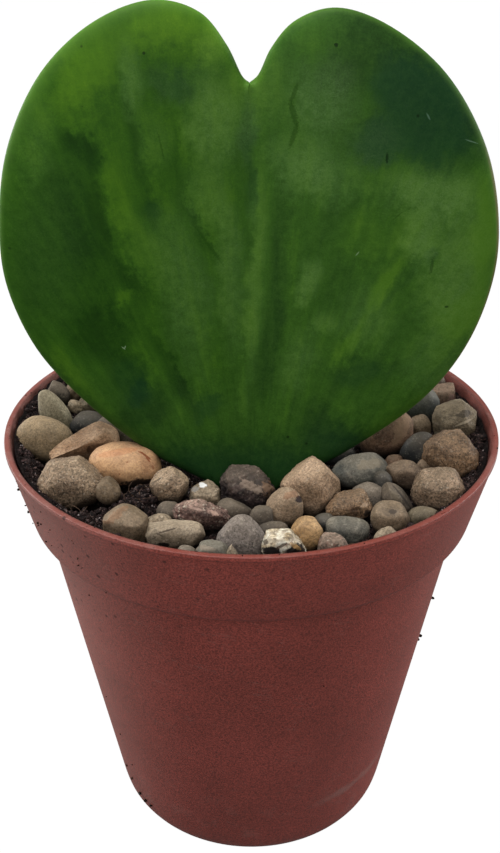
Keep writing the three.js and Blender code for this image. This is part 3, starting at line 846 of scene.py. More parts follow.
        # painted shade: the blade turns darker and colder towards its foot
        low = coat.reach(up + (mottle - 0.5) * 3.0, 5.5, -2.0)
        light = light - low * 0.33
        # painted shade: darker along the upper right rim
        light = light - coat.reach(rim, 0.82, 1.0) * coat.reach(across, 5, 13) * coat.reach(up, 32, 40) * 0.3
        tint: Wire | float = low * -0.75
        painted_sheen: Wire | float = 0.0
        for patch in self.patches:
            spot = coat.oval(wavy, (patch.across, patch.up), (patch.wide, patch.high), patch.turn)
            weight = coat.reach(spot, 1.5, 0.3)
            light = light + weight * patch.gain
            if patch.tint:
                tint = weight * patch.tint + tint
            if patch.painted_sheen:
                painted_sheen = weight * patch.painted_sheen + painted_sheen
        colour = coat.ramp(light, [(at, paint(code)) for at, code in self.stops])
        colour = coat.blend(coat.reach(tint, -0.1, -1.1, 0.0, 0.6), colour, paint(self.cold))
        colour = coat.blend(coat.reach(tint, 0.1, 1.0, 0.0, 0.5), colour, paint(self.warm))
        # painted sheen: pale patches with curls in them, broken up by the worn noise, and a faint film over
        # the right and lower blade
        curl = coat.math("ABSOLUTE", coat.noise(plane, 0.9, detail=3, roughness=0.6, distortion=1.6) - 0.5)
        worn = coat.reach(mottle * 0.5 + speck * 0.5, 0.35, 0.65, 0.45, 1.0)
        sheen_spread = coat.math("MAXIMUM", coat.reach(across, -8, 3), coat.reach(up, 15, 5))
        sheen_film = painted_sheen * worn * 0.5 + painted_sheen * coat.reach(curl, 0.02, 0.0) * 0.35 + sheen_spread * worn * 0.08
        colour = coat.blend(sheen_film, colour, paint(self.sheen_colour))
        dots = coat.reach(coat.cells(plane, 0.45, "Distance"), 0.1, 0.05)
        chosen = coat.reach(coat.split(coat.cells(plane, 0.45))[0], 0.86, 0.9)
        colour = coat.blend(dots * chosen * 0.7, colour, paint(self.pit))
        for nick in self.nicks:
            spot = coat.oval(plane, (nick.across, nick.up), (nick.wide, nick.high), nick.turn)
            near = coat.reach(spot + (speck - 0.5) * 1.4, 1.2, 0.6)
            colour = coat.blend(near * nick.strength, colour, paint(nick.colour))
        # painted highlight: the rim is lighter all round, most on the upper left
        rim_highlight = coat.reach(across, 12, -2) * coat.reach(up, 26, 42)
        colour = coat.blend(coat.reach(rim, 0.93, 1.0) * rim_highlight * 0.35, colour, paint(self.rim))
        colour = coat.blend(coat.reach(rim, 0.972, 1.0) * 0.3, colour, paint(self.rim))
        worn_edge = coat.reach(rim, 0.982, 0.997) * coat.reach(across, 14, 20) * coat.reach(up, 38, 31)
        colour = coat.blend(worn_edge * 0.6, colour, paint(self.margin))
        colour = coat.blend(coat.reach(under, 0.5, 1.0) * 0.75, colour, paint(self.under))
        coat.set(base_color=colour, roughness=coat.reach(speck, 0.3, 0.7, 0.45, 0.6))
        height = mottle * 0.35 + speck * 0.3 + fine * 0.35
        coat.relief(height, 0.07, 0.5)
        return coat.material


@dataclass(frozen=True)
class Mark:
    """A stain, pit, crack, clot or painted shade of a hollow on one pebble, placed as it is seen from the
    front and above.
    """

    right: float
    up: float
    long: float
    wide: float
    colour: str
    bearing: float = 0.0
    strength: float = 0.8
    ragged: float = 0.5


@dataclass(frozen=True)
class StoneFinish:
    """A pebble's rock: two main tints, mineral grains, a little relief, and darker towards its underside.

    The shade darkens or lightens both tints: partly the rock's own tone, partly painted shade and light for
    where it lies in the pot.
    """

    light: str
    dark: str
    grain: float = 0.16
    fleck: str = "2c231e"
    pale: str = "cfc3ae"
    flecks: float = 0.2
    pales: float = 0.1
    contrast: float = 0.35
    cloud: float = 3.0
    depth: float = 0.05
    roughness: float = 0.75
    bands: float = 0.0
    shade: float = 1.0
    dust: str = "c8b498"
    underside_dark: str = "1c1512"

    def material(
        self, name: str, seed: int, low: np.ndarray, high: np.ndarray, marks: Sequence[Mark]
    ) -> bpy.types.Material:
        """The material of one pebble.

        Args:
            name: the material's name.
            seed: shifts the pattern, so that no two pebbles look alike.
            low: the pebble's lowest corner, in millimetres.
            high: its highest corner.
            marks: what stains it.

        Returns:
            The material.
        """
        coat = Coat(name, roughness=self.roughness, specular_ior_level=0.3)
        own = coat.place()
        at = own + (seed % 97) * 3.7
        cloud = coat.noise(at, 1 / self.cloud, detail=4, roughness=0.6)
        fine = coat.noise(at, 0.5 / self.grain, detail=4, roughness=0.75)
        red, green, _ = coat.split(coat.cells(at, 1 / self.grain))
        # painted shade and light, with the rock's own tone: both tints scaled by the shade
        dark, light = paint(self.dark, self.shade), paint(self.light, self.shade)
        colour = coat.blend(coat.reach(cloud, 0.34, 0.66), dark, light)
        if self.bands:
            layer = coat.noise(coat.placed(at, (0, 0, 0), (0.5, 0.4, seed % 6), (9, 9, 0.9)), 1.0, detail=4)
            colour = coat.blend(coat.reach(layer, 0.5, 0.65) * self.bands, colour, paint(self.pale))
        grit = coat.reach(fine * 0.7 + red * 0.3, 0.25, 0.75, 0.08, 0.92)
        colour = coat.blend(self.contrast, colour, grit, "OVERLAY")
        colour = coat.blend(coat.reach(red, 0.86, 0.94) * self.flecks, colour, paint(self.fleck))
        colour = coat.blend(coat.reach(green, 0.9, 0.97) * self.pales, colour, paint(self.pale))
        _, _, level = coat.split(own)
        height = float(high[2] - low[2])
        dust = coat.reach(level + (cloud - 0.5) * 1.5, low[2] + 0.55 * height, high[2])
        colour = coat.blend(dust * 0.1, colour, paint(self.dust))
        wander = coat.noise(own, 1.3, detail=5, roughness=0.7)
        for mark in marks:
            weight = self.spread(coat, own, (low + high) / 2, float(high[1] - low[1]) / 2, mark)
            weight = weight + (wander - 0.5) * 2.4 * mark.ragged
            colour = coat.blend(coat.reach(weight, 1.05, 0.75) * mark.strength, colour, paint(mark.colour))
        # darker towards the underside
        underside_dark = coat.reach(level + (wander - 0.5) * 2.0, low[2] + 0.5 * height, low[2] + 0.05 * height)
        colour = coat.blend(underside_dark * 0.85, colour, paint(self.underside_dark))
        coat.set(base_color=colour)
        coat.relief(fine * 0.75 + red * 0.25, self.depth, 0.8)
        return coat.material

    @staticmethod
    def spread(coat: Coat, own: Wire, middle: np.ndarray, depth: float, mark: Mark) -> Wire:
        """How far a place is from a mark's middle, 1 at its edge.

        Args:
            coat: the material's recipe.
            own: the place.
            middle: the pebble's middle.
            depth: half its depth.
            mark: the mark.

        Returns:
            The distance.
        """
        turned = SEEN @ Matrix.Rotation(math.radians(mark.bearing), 3, "Z")
        place = Vector(middle) + SEEN @ Vector((mark.right, mark.up, 0.8 * depth))
        size = (mark.long, mark.wide, 1.2 * depth)
        return coat.length(coat.placed(own, tuple(place), tuple(turned.to_euler()), size))


class Rock(Enum):
    """The kinds of pebble in the dressing."""

    SANDSTONE = StoneFinish("967f66", "77624e", contrast=0.85, flecks=0.45, pales=0.25, depth=0.12, shade=0.9)
    COARSE_TAN = StoneFinish("937a63", "74604c", contrast=0.85, flecks=0.4, pales=0.2, depth=0.1, shade=0.93)
    COARSE_BROWN = StoneFinish("7e6349", "5c4633", contrast=0.85, flecks=0.4, pales=0.15, depth=0.12)
    SMOOTH_TAN = StoneFinish("957f60", "7c6a50", contrast=0.5, depth=0.04, shade=0.9)
    BUFF = StoneFinish("967f67", "78644f", contrast=0.55, flecks=0.3, depth=0.06, shade=1.05)
    GREEN_TAN = StoneFinish("938971", "7c725b", contrast=0.5, depth=0.05, shade=0.9)
    OCHRE = StoneFinish("c79b70", "a47a58", contrast=0.3, flecks=0.05, depth=0.03, roughness=0.6)
    AMBER = StoneFinish("aa885e", "80623f", contrast=0.5, flecks=0.1, depth=0.04, roughness=0.65, shade=1.12)
    RIDGE = StoneFinish("a5876a", "7c5e44", contrast=0.5, depth=0.06)
    PALE = StoneFinish("9b8b76", "7b6c59", contrast=0.5, flecks=0.15, pales=0.2, depth=0.05, shade=0.97)
    GRANITE = StoneFinish(
        "94776b", "543c36", 0.2, contrast=0.85, flecks=0.4, pales=0.5, cloud=1.3, depth=0.12, shade=0.9,
    )
    PLUM = StoneFinish(
        "50403b", "2a2022", 0.2, contrast=0.8, flecks=0.4, pales=0.1, cloud=1.8, depth=0.16, shade=0.64,
    )
    GREY = StoneFinish("80766e", "665d57", contrast=0.65, flecks=0.35, pales=0.25, depth=0.07, shade=0.95)
    PLAIN_GREY = StoneFinish("6a6055", "504840", contrast=0.5, depth=0.05)
    GREEN_GREY = StoneFinish("67645a", "484944", contrast=0.5, depth=0.05, bands=0.1, shade=0.86)
    OLIVE = StoneFinish("6e624e", "514838", contrast=0.5, depth=0.05, shade=0.88)
    CREASED = StoneFinish("766853", "524737", contrast=0.6, depth=0.08, bands=0.25)
    SLATE = StoneFinish("575a53", "40433f", contrast=0.4, depth=0.03, roughness=0.65)
    DARK_SLATE = StoneFinish("3b3a36", "262828", contrast=0.4, depth=0.03, roughness=0.6, shade=0.8)
    DUSK = StoneFinish("574c41", "3f3830", contrast=0.5, depth=0.05, shade=0.78)
    DULL_TAN = StoneFinish("7f6c57", "66543f", contrast=0.5, flecks=0.3, depth=0.06, shade=0.9)
    BRIGHT_TAN = StoneFinish("ab8f74", "8a7158", contrast=0.6, flecks=0.4, pales=0.2, depth=0.1, shade=1.05)
    BROWN = StoneFinish("6f5b48", "4f4033", contrast=0.5, depth=0.06)
    RUSSET = StoneFinish("7c5f4a", "584335", contrast=0.5, cloud=2.4, depth=0.05)
    PINK = StoneFinish("78604f", "574539", contrast=0.6, depth=0.06)
    QUARTZ = StoneFinish(
        "d0c7b4", "a08c6c", 0.26, contrast=0.8, flecks=0.2, pales=0.4, cloud=1.1, depth=0.14, shade=0.96,
    )
    CREAM = StoneFinish(
        "8f7e68", "6c5d4a", 0.2, contrast=0.6, flecks=0.15, pales=0.3, cloud=1.6, depth=0.08, shade=0.86,
    )
    SPECKLED = StoneFinish(
        "8a7466", "665348", 0.24, fleck="5a3028", contrast=0.85, flecks=0.55, pales=0.4, cloud=1.6,
        depth=0.09, shade=0.77,
    )


# ---------------------------------------------------------------- pot
@dataclass
class Pot:
    """The nursery pot: one turned wall with a stepped collar, a rolled lip and drain holes."""

    node: str = "pot"
    height: float = 55.0
    rim: float = 30.0
    collar_height: float = 10.2
    collar_foot: float = 27.5
    body_top: float = 25.9
    body_foot: float = 18.3
    wall: float = 0.8
    lip_step: float = 0.14
    lip_height: float = 0.62
    lip_width: float = 0.74
    ring_inner: float = 13.8
    ring_outer: float = 15.9
    floor_under: float = 0.8
    floor_top: float = 1.7
    drain: float = 1.9
    drain_circle: float = 10.5
    drains: int = 6
    sectors: int = 168
    finish: PotFinish = field(default_factory=PotFinish)

    def profile(self) -> list[Vec]:
        """The wall's section as radius, height and rounding, round from the drain hole and back to it.

        Returns:
            Each corner, in millimetres.
        """
        foot = self.height - self.collar_height
        lip = self.height - self.lip_height
        collar_top = self.rim - self.lip_step
        return [
            (self.drain, self.floor_under, 0.1), (self.ring_inner - 0.6, self.floor_under, 0.3),
            (self.ring_inner, 0.0, 0.2), (self.ring_outer, 0.0, 0.3), (self.ring_outer + 1.2, 0.45, 0.5),
            (self.body_foot - 0.4, 1.7, 0.6), (self.body_foot, 3.3, 0.6), (self.body_top, foot - 0.3, 0.2),
            (self.collar_foot - 0.4, foot, 0.25), (self.collar_foot, foot + 0.5, 0.3),
            (collar_top, lip, 0.08), (self.rim, lip + 0.12, 0.1), (self.rim, self.height, 0.16),
            (self.rim - self.lip_width, self.height, 0.12), (collar_top - self.wall - 0.1, lip - 0.6, 0.3),
            (self.collar_foot - self.wall, foot + 0.2, 0.3), (self.body_top - self.wall, foot - 0.6, 0.3),
            (self.body_foot - self.wall, 3.6, 0.6), (self.ring_outer, self.floor_top, 0.6),
            (self.drain, self.floor_top, 0.1),
        ]

    def section(self) -> np.ndarray:
        """The section with its corners rounded, and points that hold each run straight between them.

        Returns:
            Its points, as radius and height in millimetres.
        """
        corners = np.array(self.profile())
        places, soft = corners[:, :2], corners[:, 2]
        before, after = np.roll(places, 1, 0) - places, np.roll(places, -1, 0) - places
        back, ahead = np.linalg.norm(before, axis=1), np.linalg.norm(after, axis=1)
        reach = np.minimum(soft, 0.4 * np.minimum(back, ahead))
        starts = places + before * (reach / back)[:, None]
        ends = places + after * (reach / ahead)[:, None]
        out = []
        for k, here in enumerate(places):
            for t in np.linspace(0, 1, 5):
                out.append((1 - t) ** 2 * starts[k] + 2 * t * (1 - t) * here + t**2 * ends[k])
            following = starts[(k + 1) % len(places)]
            run = float(np.linalg.norm(following - ends[k]))
            if run < 0.5:
                continue
            shares = np.linspace(0.12 / run, 1 - 0.12 / run, max(2, 1 + math.ceil(run / 2.2)))
            out.extend(ends[k] + share * (following - ends[k]) for share in shares)
        return np.array(out)

    def tree(self) -> GeometryTree:
        """Geometry Nodes that turn a section about the Z axis and drill a circle of holes.

        Returns:
            The tree.
        """
        tree = GeometryTree("turned_wall", ["Sectors", "Holes", "Hole Radius", "Hole Circle", "Finish"])
        core = 1 * MM
        section = tree.node("GeometryNodeMeshToCurve", inputs={"Mesh": tree.given("Geometry")})
        around = {"Resolution": tree.given("Sectors"), "Radius": core}
        axis = tree.node("GeometryNodeCurvePrimitiveCircle", inputs=around)
        wall = tree.node("GeometryNodeCurveToMesh", inputs={"Curve": axis, "Profile Curve": section})
        centres = {"Vertices": tree.given("Holes"), "Radius": tree.given("Hole Circle")}
        circle = tree.node("GeometryNodeMeshCircle", inputs=centres)
        drill = tree.node(
            "GeometryNodeMeshCylinder",
            inputs={"Vertices": 32, "Radius": tree.given("Hole Radius"), "Depth": 6 * MM},
        )
        drills = tree.node("GeometryNodeInstanceOnPoints", inputs={"Points": circle, "Instance": drill})
        drills = tree.node("GeometryNodeRealizeInstances", inputs={0: drills})
        drilled = tree.node(
            "GeometryNodeMeshBoolean", {"operation": "DIFFERENCE", "solver": "EXACT"},
            {"Mesh 1": wall, "Mesh 2": drills},
        )
        tree.finish(tree.node("GeometryNodeSetShadeSmooth", inputs={"Geometry": drilled}))
        return tree

    def build(self) -> bpy.types.Object:
        """Makes the pot's piece.

        Returns:
            The piece, in place and dressed.
        """
        core = 1.0
        mesh = bpy.data.meshes.new("pot_section")
        points = [((r - core) * MM, -z * MM, 0.0) for r, z in self.section()]
        count = len(points)
        mesh.from_pydata(points, [(i, (i + 1) % count) for i in range(count)], [])
        section = bpy.data.objects.new("pot_section", mesh)
        bpy.context.scene.collection.objects.link(section)
        piece = self.tree().run(
            section, "nursery_pot", sectors=self.sectors, holes=self.drains, hole_radius=self.drain * MM,
            hole_circle=self.drain_circle * MM, finish=self.finish.material(),
        )
        return settle(piece, "pot", self.node)


def settle(piece: bpy.types.Object, slot: str, *nodes: str) -> bpy.types.Object:
    """Hands a finished piece to the frame.

    Args:
        piece: the piece, in place.
        slot: the record's material slot; not used.
        nodes: the frame nodes that it stands for.

    Returns:
        The piece.
    """
    if nodes:
        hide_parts(*nodes)
    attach(piece, BODY)
    log.info("%s: %d faces", piece.name, len(piece.data.polygons))
    return piece


@dataclass
class StuckPeat:
    """Grains of peat that cling to the pot's outer wall and lip, most of them on one flank."""

    pot: Pot
    placed: tuple[Vec, ...] = (
        (201.5, 51.5, 0.42), (201.0, 49.0, 0.28), (199.0, 47.6, 0.16), (184.5, 53.2, 0.3),
        (188.0, 50.8, 0.25), (206.0, 44.6, 0.24), (345.6, 32.5, 0.5), (346.5, 26.0, 0.62),
        (347.0, 25.2, 0.34), (216.0, 3.9, 0.6), (219.5, 3.4, 0.5), (223.0, 3.3, 0.36), (211.0, 5.4, 0.4),
        (208.0, 7.0, 0.3), (216.0, 9.5, 0.2), (213.0, 14.5, 0.2), (210.0, 20.5, 0.18),
    )
    count: int = 90
    smallest: float = 0.07
    largest: float = 0.3
    bearing: float = 208.0
    spread: float = 15.0
    seed: int = 5
    finish: SoilFinish = field(default_factory=lambda: SoilFinish("stuck_peat", "120b09", "38291f", 0.8))

    def radius(self, level: float) -> float:
        """The outer wall's radius at a height.

        Args:
            level: the height, in millimetres.

        Returns:
            The radius.
        """
        pot = self.pot
        foot = pot.height - pot.collar_height
        if level > foot + 0.5:
            share = (level - foot) / pot.collar_height
            return pot.collar_foot + share * (pot.rim - pot.lip_step - pot.collar_foot)
        return pot.body_foot + (level - 3.3) / (foot - 3.6) * (pot.body_top - pot.body_foot)

    def places(self) -> list[tuple[Vec, float]]:
        """Where each grain lies, in millimetres, and its size.

        Returns:
            Each grain's place and size.
        """
        draw = np.random.default_rng(self.seed)
        spots = list(self.placed)
        for i in range(self.count):
            size = self.smallest + (self.largest - self.smallest) * draw.uniform(0, 1) ** 2.5
            if i % 4:
                spots.append((draw.normal(self.bearing, self.spread), 54.3 - draw.exponential(4.5), size))
            else:
                spots.append((draw.uniform(0, 360), draw.uniform(8, 54), size * 0.8))
        out = []
        for bearing, level, size in spots:
            turn = math.radians(bearing)
            away = self.radius(level) + 0.3 * size
            out.append(((away * math.cos(turn), away * math.sin(turn), level), size))
        for _ in range(self.count // 4):
            turn = math.radians(draw.uniform(150, 400))
            away = self.pot.rim - draw.uniform(0.1, 0.75)
            size = draw.uniform(0.06, 0.22)
            out.append(((away * math.cos(turn), away * math.sin(turn), self.pot.height + 0.25 * size), size))
        return out

    def build(self) -> bpy.types.Object:
        """Makes the grains as one piece.

        Returns:
            The piece, in place and dressed.
        """
        draw = np.random.default_rng(self.seed + 1)
        grain, triangles = ball_of(1, 0.5)
        points: list[np.ndarray] = []
        faces: list[tuple[int, ...]] = []
        for place, size in self.places():
            turned = np.array(Euler(tuple(draw.uniform(0, FULL_TURN, 3))).to_matrix())
            start = len(points) * len(grain)
            points.append((grain * draw.uniform(0.6, 1.3, 3) * size) @ turned.T + np.array(place))
            faces += [tuple(start + i for i in face) for face in triangles]
        piece = make_object("stuck_peat", np.vstack(points), faces)
        piece.data.materials.append(self.finish.material())
        return settle(piece, "soil")


# ---------------------------------------------------------------- leaf
LEFT_LOBE: tuple[Place, ...] = (
    (-1.6, -5.6), (-7.5, -2.4), (-12.5, 0.7), (-19.7, 7), (-24.8, 13.1), (-27.7, 20.3), (-28.1, 26.9),
    (-26.7, 35.5), (-22.4, 43.7), (-16.3, 48.9), (-10.1, 50.9), (-5.4, 49.6), (-2.6, 46.3), (-0.9, 43),
    (-0.2, 42.4),
)
RIGHT_LOBE: tuple[Place, ...] = (
    (1.6, -5.6), (6.7, -2.4), (11.7, 0.7), (20, 7), (24.6, 13.1), (27.2, 20.3), (27.6, 26.9), (25.7, 35.5),
    (20.6, 43.7), (13.6, 48.8), (8.6, 50.1), (4.5, 48.7), (2.1, 46), (0.7, 43.2), (-0.2, 42.4),
)


@dataclass
class Leaf:
    """The leaf: a thick heart-shaped blade with a shallow fold, and its stalk."""

    node: str = "leaf"
    foot: Vec = (0.0, -6.0, 54.0)
    lean: float = 8.0
    half_thickness: float = 1.6
    steps: int = 130
    rings: int = 26
    stalk_radius: float = 1.8
    stalk_foot: float = -18.0
    finish: LeafFinish = field(default_factory=LeafFinish)

    @staticmethod
    def spline(points: Sequence[Place], count: int) -> np.ndarray:
        """A smooth centripetal curve through points.

        Args:
            points: the points that it passes.
            count: how many steps it is cut into.

        Returns:
            Its points, one more than count.
        """
        knots = np.array(points, float)
        knots = np.vstack([2 * knots[0] - knots[1], knots, 2 * knots[-1] - knots[-2]])
        out = []
        spans = len(points) - 1
        for i in range(count + 1):
            at = i / count * spans
            k = min(int(at), spans - 1)
            p = knots[k : k + 4]
            t = [0.0]
            for a, b in zip(p[:-1], p[1:]):
                t.append(t[-1] + max(1e-6, float(np.linalg.norm(b - a)) ** 0.5))
            s = t[1] + (at - k) * (t[2] - t[1])
            a1 = (t[1] - s) / (t[1] - t[0]) * p[0] + (s - t[0]) / (t[1] - t[0]) * p[1]
            a2 = (t[2] - s) / (t[2] - t[1]) * p[1] + (s - t[1]) / (t[2] - t[1]) * p[2]
            a3 = (t[3] - s) / (t[3] - t[2]) * p[2] + (s - t[2]) / (t[3] - t[2]) * p[3]
            b1 = (t[2] - s) / (t[2] - t[0]) * a1 + (s - t[0]) / (t[2] - t[0]) * a2
            b2 = (t[3] - s) / (t[3] - t[1]) * a2 + (s - t[1]) / (t[3] - t[1]) * a3
            out.append((t[2] - s) / (t[2] - t[1]) * b1 + (s - t[1]) / (t[2] - t[1]) * b2)
        return np.array(out)

    def rise(self, across: np.ndarray, up: np.ndarray) -> np.ndarray:
        """How far the blade's middle surface stands forward of its plane."""
        pads = 1.2 * np.sin(math.pi * np.minimum(np.abs(across), 27) / 31)
        return pads - 0.0009 * (up - 18) ** 2

    def blade(self) -> tuple[np.ndarray, np.ndarray, list[tuple[int, int, int, int]]]:
        """The blade in its own plane.

        Returns:
            Points as across, up and forward; the rim share and underside of each; and the faces.
        """
        share = np.linspace(0, 1, self.steps + 1)
        t = np.sin(np.linspace(0, 1, self.rings + 1) * math.pi / 2)
        tip = np.array(LEFT_LOBE[-1])
        foot = np.array([0.0, LEFT_LOBE[0][1]])
        points, marks, faces = [], [], []
        for lobe, side in ((LEFT_LOBE, -1), (RIGHT_LOBE, 1)):
            rim = self.spline(lobe, self.steps)
            rib = foot + share[:, None] * (tip - foot)
            ends = np.minimum(1, np.minimum(8 * share, 26 * (1 - share)))
            for face in (-1, 1):
                flat = rib[:, None, :] + t[None, :, None] * (rim - rib)[:, None, :]
                inner = np.maximum(t[None, :], 1 - ends[:, None])
                half = self.half_thickness * np.sqrt(np.maximum(0, 1 - inner**7))
                deep = self.rise(flat[..., 0], flat[..., 1]) + face * half
                start = sum(len(p) for p in points)
                points.append(np.dstack([flat, deep]).reshape(-1, 3))
                under = np.full(inner.shape, 1.0 if face < 0 else 0.0)
                marks.append(np.dstack([np.broadcast_to(t, inner.shape), under]).reshape(-1, 2))
                row = self.rings + 1
                for i in range(self.steps):
                    for j in range(self.rings):
                        a = start + i * row + j
                        quad = (a, a + 1, a + row + 1, a + row)
                        faces.append(quad if side * face > 0 else quad[::-1])
        return np.vstack(points), np.vstack(marks), faces

    def stalk(self, sides: int = 24) -> tuple[np.ndarray, list[tuple[int, ...]]]:
        """The stalk as a closed turned shape in the blade's plane.

        Args:
            sides: how many sides it has.

        Returns:
            Its points as across, up and forward, and its faces.
        """
        r = self.stalk_radius
        foot = self.stalk_foot
        profile = [(r - 0.4, foot), (r, foot + 0.6), (r - 0.1, -8.0), (r, -5.0), (1.2, -2.0)]
        deep = float(self.rise(np.array([0.0]), np.array([-4.0]))[0])
        points = []
        for radius, level in profile:
            for k in range(sides):
                angle = 2 * math.pi * k / sides
                points.append((radius * math.cos(angle), level, deep + radius * math.sin(angle)))
        last = len(profile) - 1
        caps = [tuple(range(sides)), tuple(reversed(range(last * sides, (last + 1) * sides)))]
        return np.array(points), caps + ring_faces(last, sides)

    def stand(self, points: np.ndarray) -> np.ndarray:
        """Points of the blade's plane in their place.

        Args:
            points: places as across, up and forward.

        Returns:
            Their places in the frame, in millimetres.
        """
        lean = math.radians(self.lean)
        across, up, forward = points.T
        y = self.foot[1] + up * math.sin(lean) - forward * math.cos(lean)
        z = self.foot[2] + up * math.cos(lean) + forward * math.sin(lean)
        return np.column_stack([self.foot[0] + across, y, z])

    def build(self) -> bpy.types.Object:
        """Makes the leaf's piece.

        Returns:
            The piece, in place and dressed.
        """
        blade, marks, faces = self.blade()
        stalk, stalk_faces = self.stalk()
        faces = [*faces, *(tuple(len(blade) + i for i in face) for face in stalk_faces)]
        flat = np.vstack([blade, stalk])
        marks = np.vstack([marks, np.tile([0.5, 0.5], (len(stalk), 1))])
        piece = make_object("leaf_blade", self.stand(flat), faces)
        mesh = piece.data
        plane = mesh.attributes.new("blade", "FLOAT_VECTOR", "POINT")
        plane.data.foreach_set("vector", np.column_stack([flat[:, :2], marks[:, 1]]).ravel())
        rim = mesh.attributes.new("rim", "FLOAT", "POINT")
        rim.data.foreach_set("value", marks[:, 0])
        shape = bmesh.new()
        shape.from_mesh(mesh)
        bmesh.ops.remove_doubles(shape, verts=shape.verts, dist=1e-7)
        bmesh.ops.dissolve_degenerate(shape, edges=shape.edges, dist=1e-8)
        bmesh.ops.recalc_face_normals(shape, faces=shape.faces)
        shape.to_mesh(mesh)
        shape.free()
        mesh.materials.append(self.finish.material())
        return settle(piece, "leaf", self.node)


# ---------------------------------------------------------------- pebbles
@dataclass(frozen=True)
class Pebble:
    """One pebble: a rounded block, turned, cut by worn faces and a little uneven.

    A face is a bearing on the seen plane (0 to the right, 90 up), its lean towards the viewer, and how much
    of the way out it lies.
    """

    rock: Rock
    half: Vec = (1.0, 1.0, 1.0)
    turn: float = 0.0
    roll: float = 0.0
    block: float = 2.2
    taper: float = 0.0
    faces: tuple[Vec, ...] = ()
    crisp: float = 0.04
    lumps: float = 0.07
    rough: float = 0.0
    worn: int = 4
    at: Vec = (0.0, 0.0, 0.0)
    shift: Vec = (0.0, 0.0, 0.0)
    grow: Vec = (1.04, 1.04, 1.04)
    detail: int = 4
    marks: tuple[Mark, ...] = ()

    def form(self, seed: int) -> tuple[np.ndarray, list[tuple[int, ...]]]:
        """The pebble's surface about its own centre.

        Args:
            seed: seed of its unevenness.

        Returns:
            Points in millimetres, and triangles.
        """
        rays, triangles = ball_of(self.detail, 1.0)
        reach = (np.abs(rays) ** self.block).sum(axis=1) ** (-1 / self.block)
        points = rays * reach[:, None]
        points *= (1 + self.lumps * Waves(seed, 2.2).at(points))[:, None]
        points[:, :2] *= (1 - self.taper * np.maximum(-0.5, points[:, 2]))[:, None]
        points *= np.array(self.half)
        spin = Euler((0.0, -math.radians(self.roll), math.radians(self.turn)), "XYZ").to_matrix()
        points = points @ np.array(spin).T
        size = float(np.mean(self.half))
        draw = np.random.default_rng(seed)
        for _ in range(self.worn):
            normal = draw.normal(size=3)
            points = self.cut(points, normal / np.linalg.norm(normal), draw.uniform(0.82, 0.93), 0.05 * size)
        for bearing, lean, keep in self.faces:
            turn, rise = math.radians(bearing), math.radians(lean)
            seen = Vector((math.cos(rise) * math.cos(turn), math.cos(rise) * math.sin(turn), math.sin(rise)))
            points = self.cut(points, np.array(SEEN @ seen), keep, self.crisp * size)
        points += rays * (0.014 * size * Waves(seed + 5, 0.9 * size, 20).at(points))[:, None]
        points += rays * (0.007 * size * Waves(seed + 9, 0.4 * size, 24).at(points))[:, None]
        if self.rough:
            points += rays * (self.rough * Waves(seed + 3, 0.55, 40).at(points))[:, None]
        return points + np.array(self.at), triangles

    @staticmethod
    def cut(points: np.ndarray, normal: np.ndarray, keep: float, soft: float) -> np.ndarray:
        """Presses what lies beyond a plane softly back to it.

        Args:
            points: places about the middle.
            normal: the way that the plane faces.
            keep: how far out it lies, as a share of the farthest point.
            soft: how soft the edge is.

        Returns:
            The new places.
        """
        level = points @ normal
        over = (level - keep * level.max()) / soft
        return points - np.outer(soft * np.logaddexp(0, over), normal)


def lay_pebbles(
    name: str, members: Sequence[Pebble], seed: int, slot: str, node: str = "",
) -> list[bpy.types.Object]:
    """Lays pebbles, so that together they fill their frame node's box where they have one.

    Args:
        name: start of the pieces' names.
        members: the pebbles, placed against each other.
        seed: seed of their unevenness.
        slot: the record's material slot.
        node: the frame node that they stand for.

    Returns:
        Their pieces.
    """
    forms = [member.form(seed + 31 * i) for i, member in enumerate(members)]
    every = np.vstack([points for points, _ in forms])
    middle = (every.max(0) + every.min(0)) / 2
    target, scale = middle, np.ones(3)
    if node:
        low, high = node_box(node)
        target, scale = (low + high) / 2, (high - low) / (every.max(0) - every.min(0))
    pieces = []
    for i, (member, (points, faces)) in enumerate(zip(members, forms)):
        growth = np.array(member.grow) if node else np.ones(3)
        placed = (points - middle) * scale * growth + target + np.array(member.shift)
        label = name if len(members) == 1 else f"{name}_{i + 1}"
        piece = make_object(label, placed, faces)
        low, high = placed.min(0), placed.max(0)
        piece.data.materials.append(
            member.rock.value.material(f"rock_{label}", seed + 31 * i, low, high, member.marks)
        )
        pieces.append(settle(piece, slot, *([node] if node else [])))
    return pieces


RUST, DAMP = "7a3c1c", "1c1512"
"""The colours of an iron stain and of damp soil."""

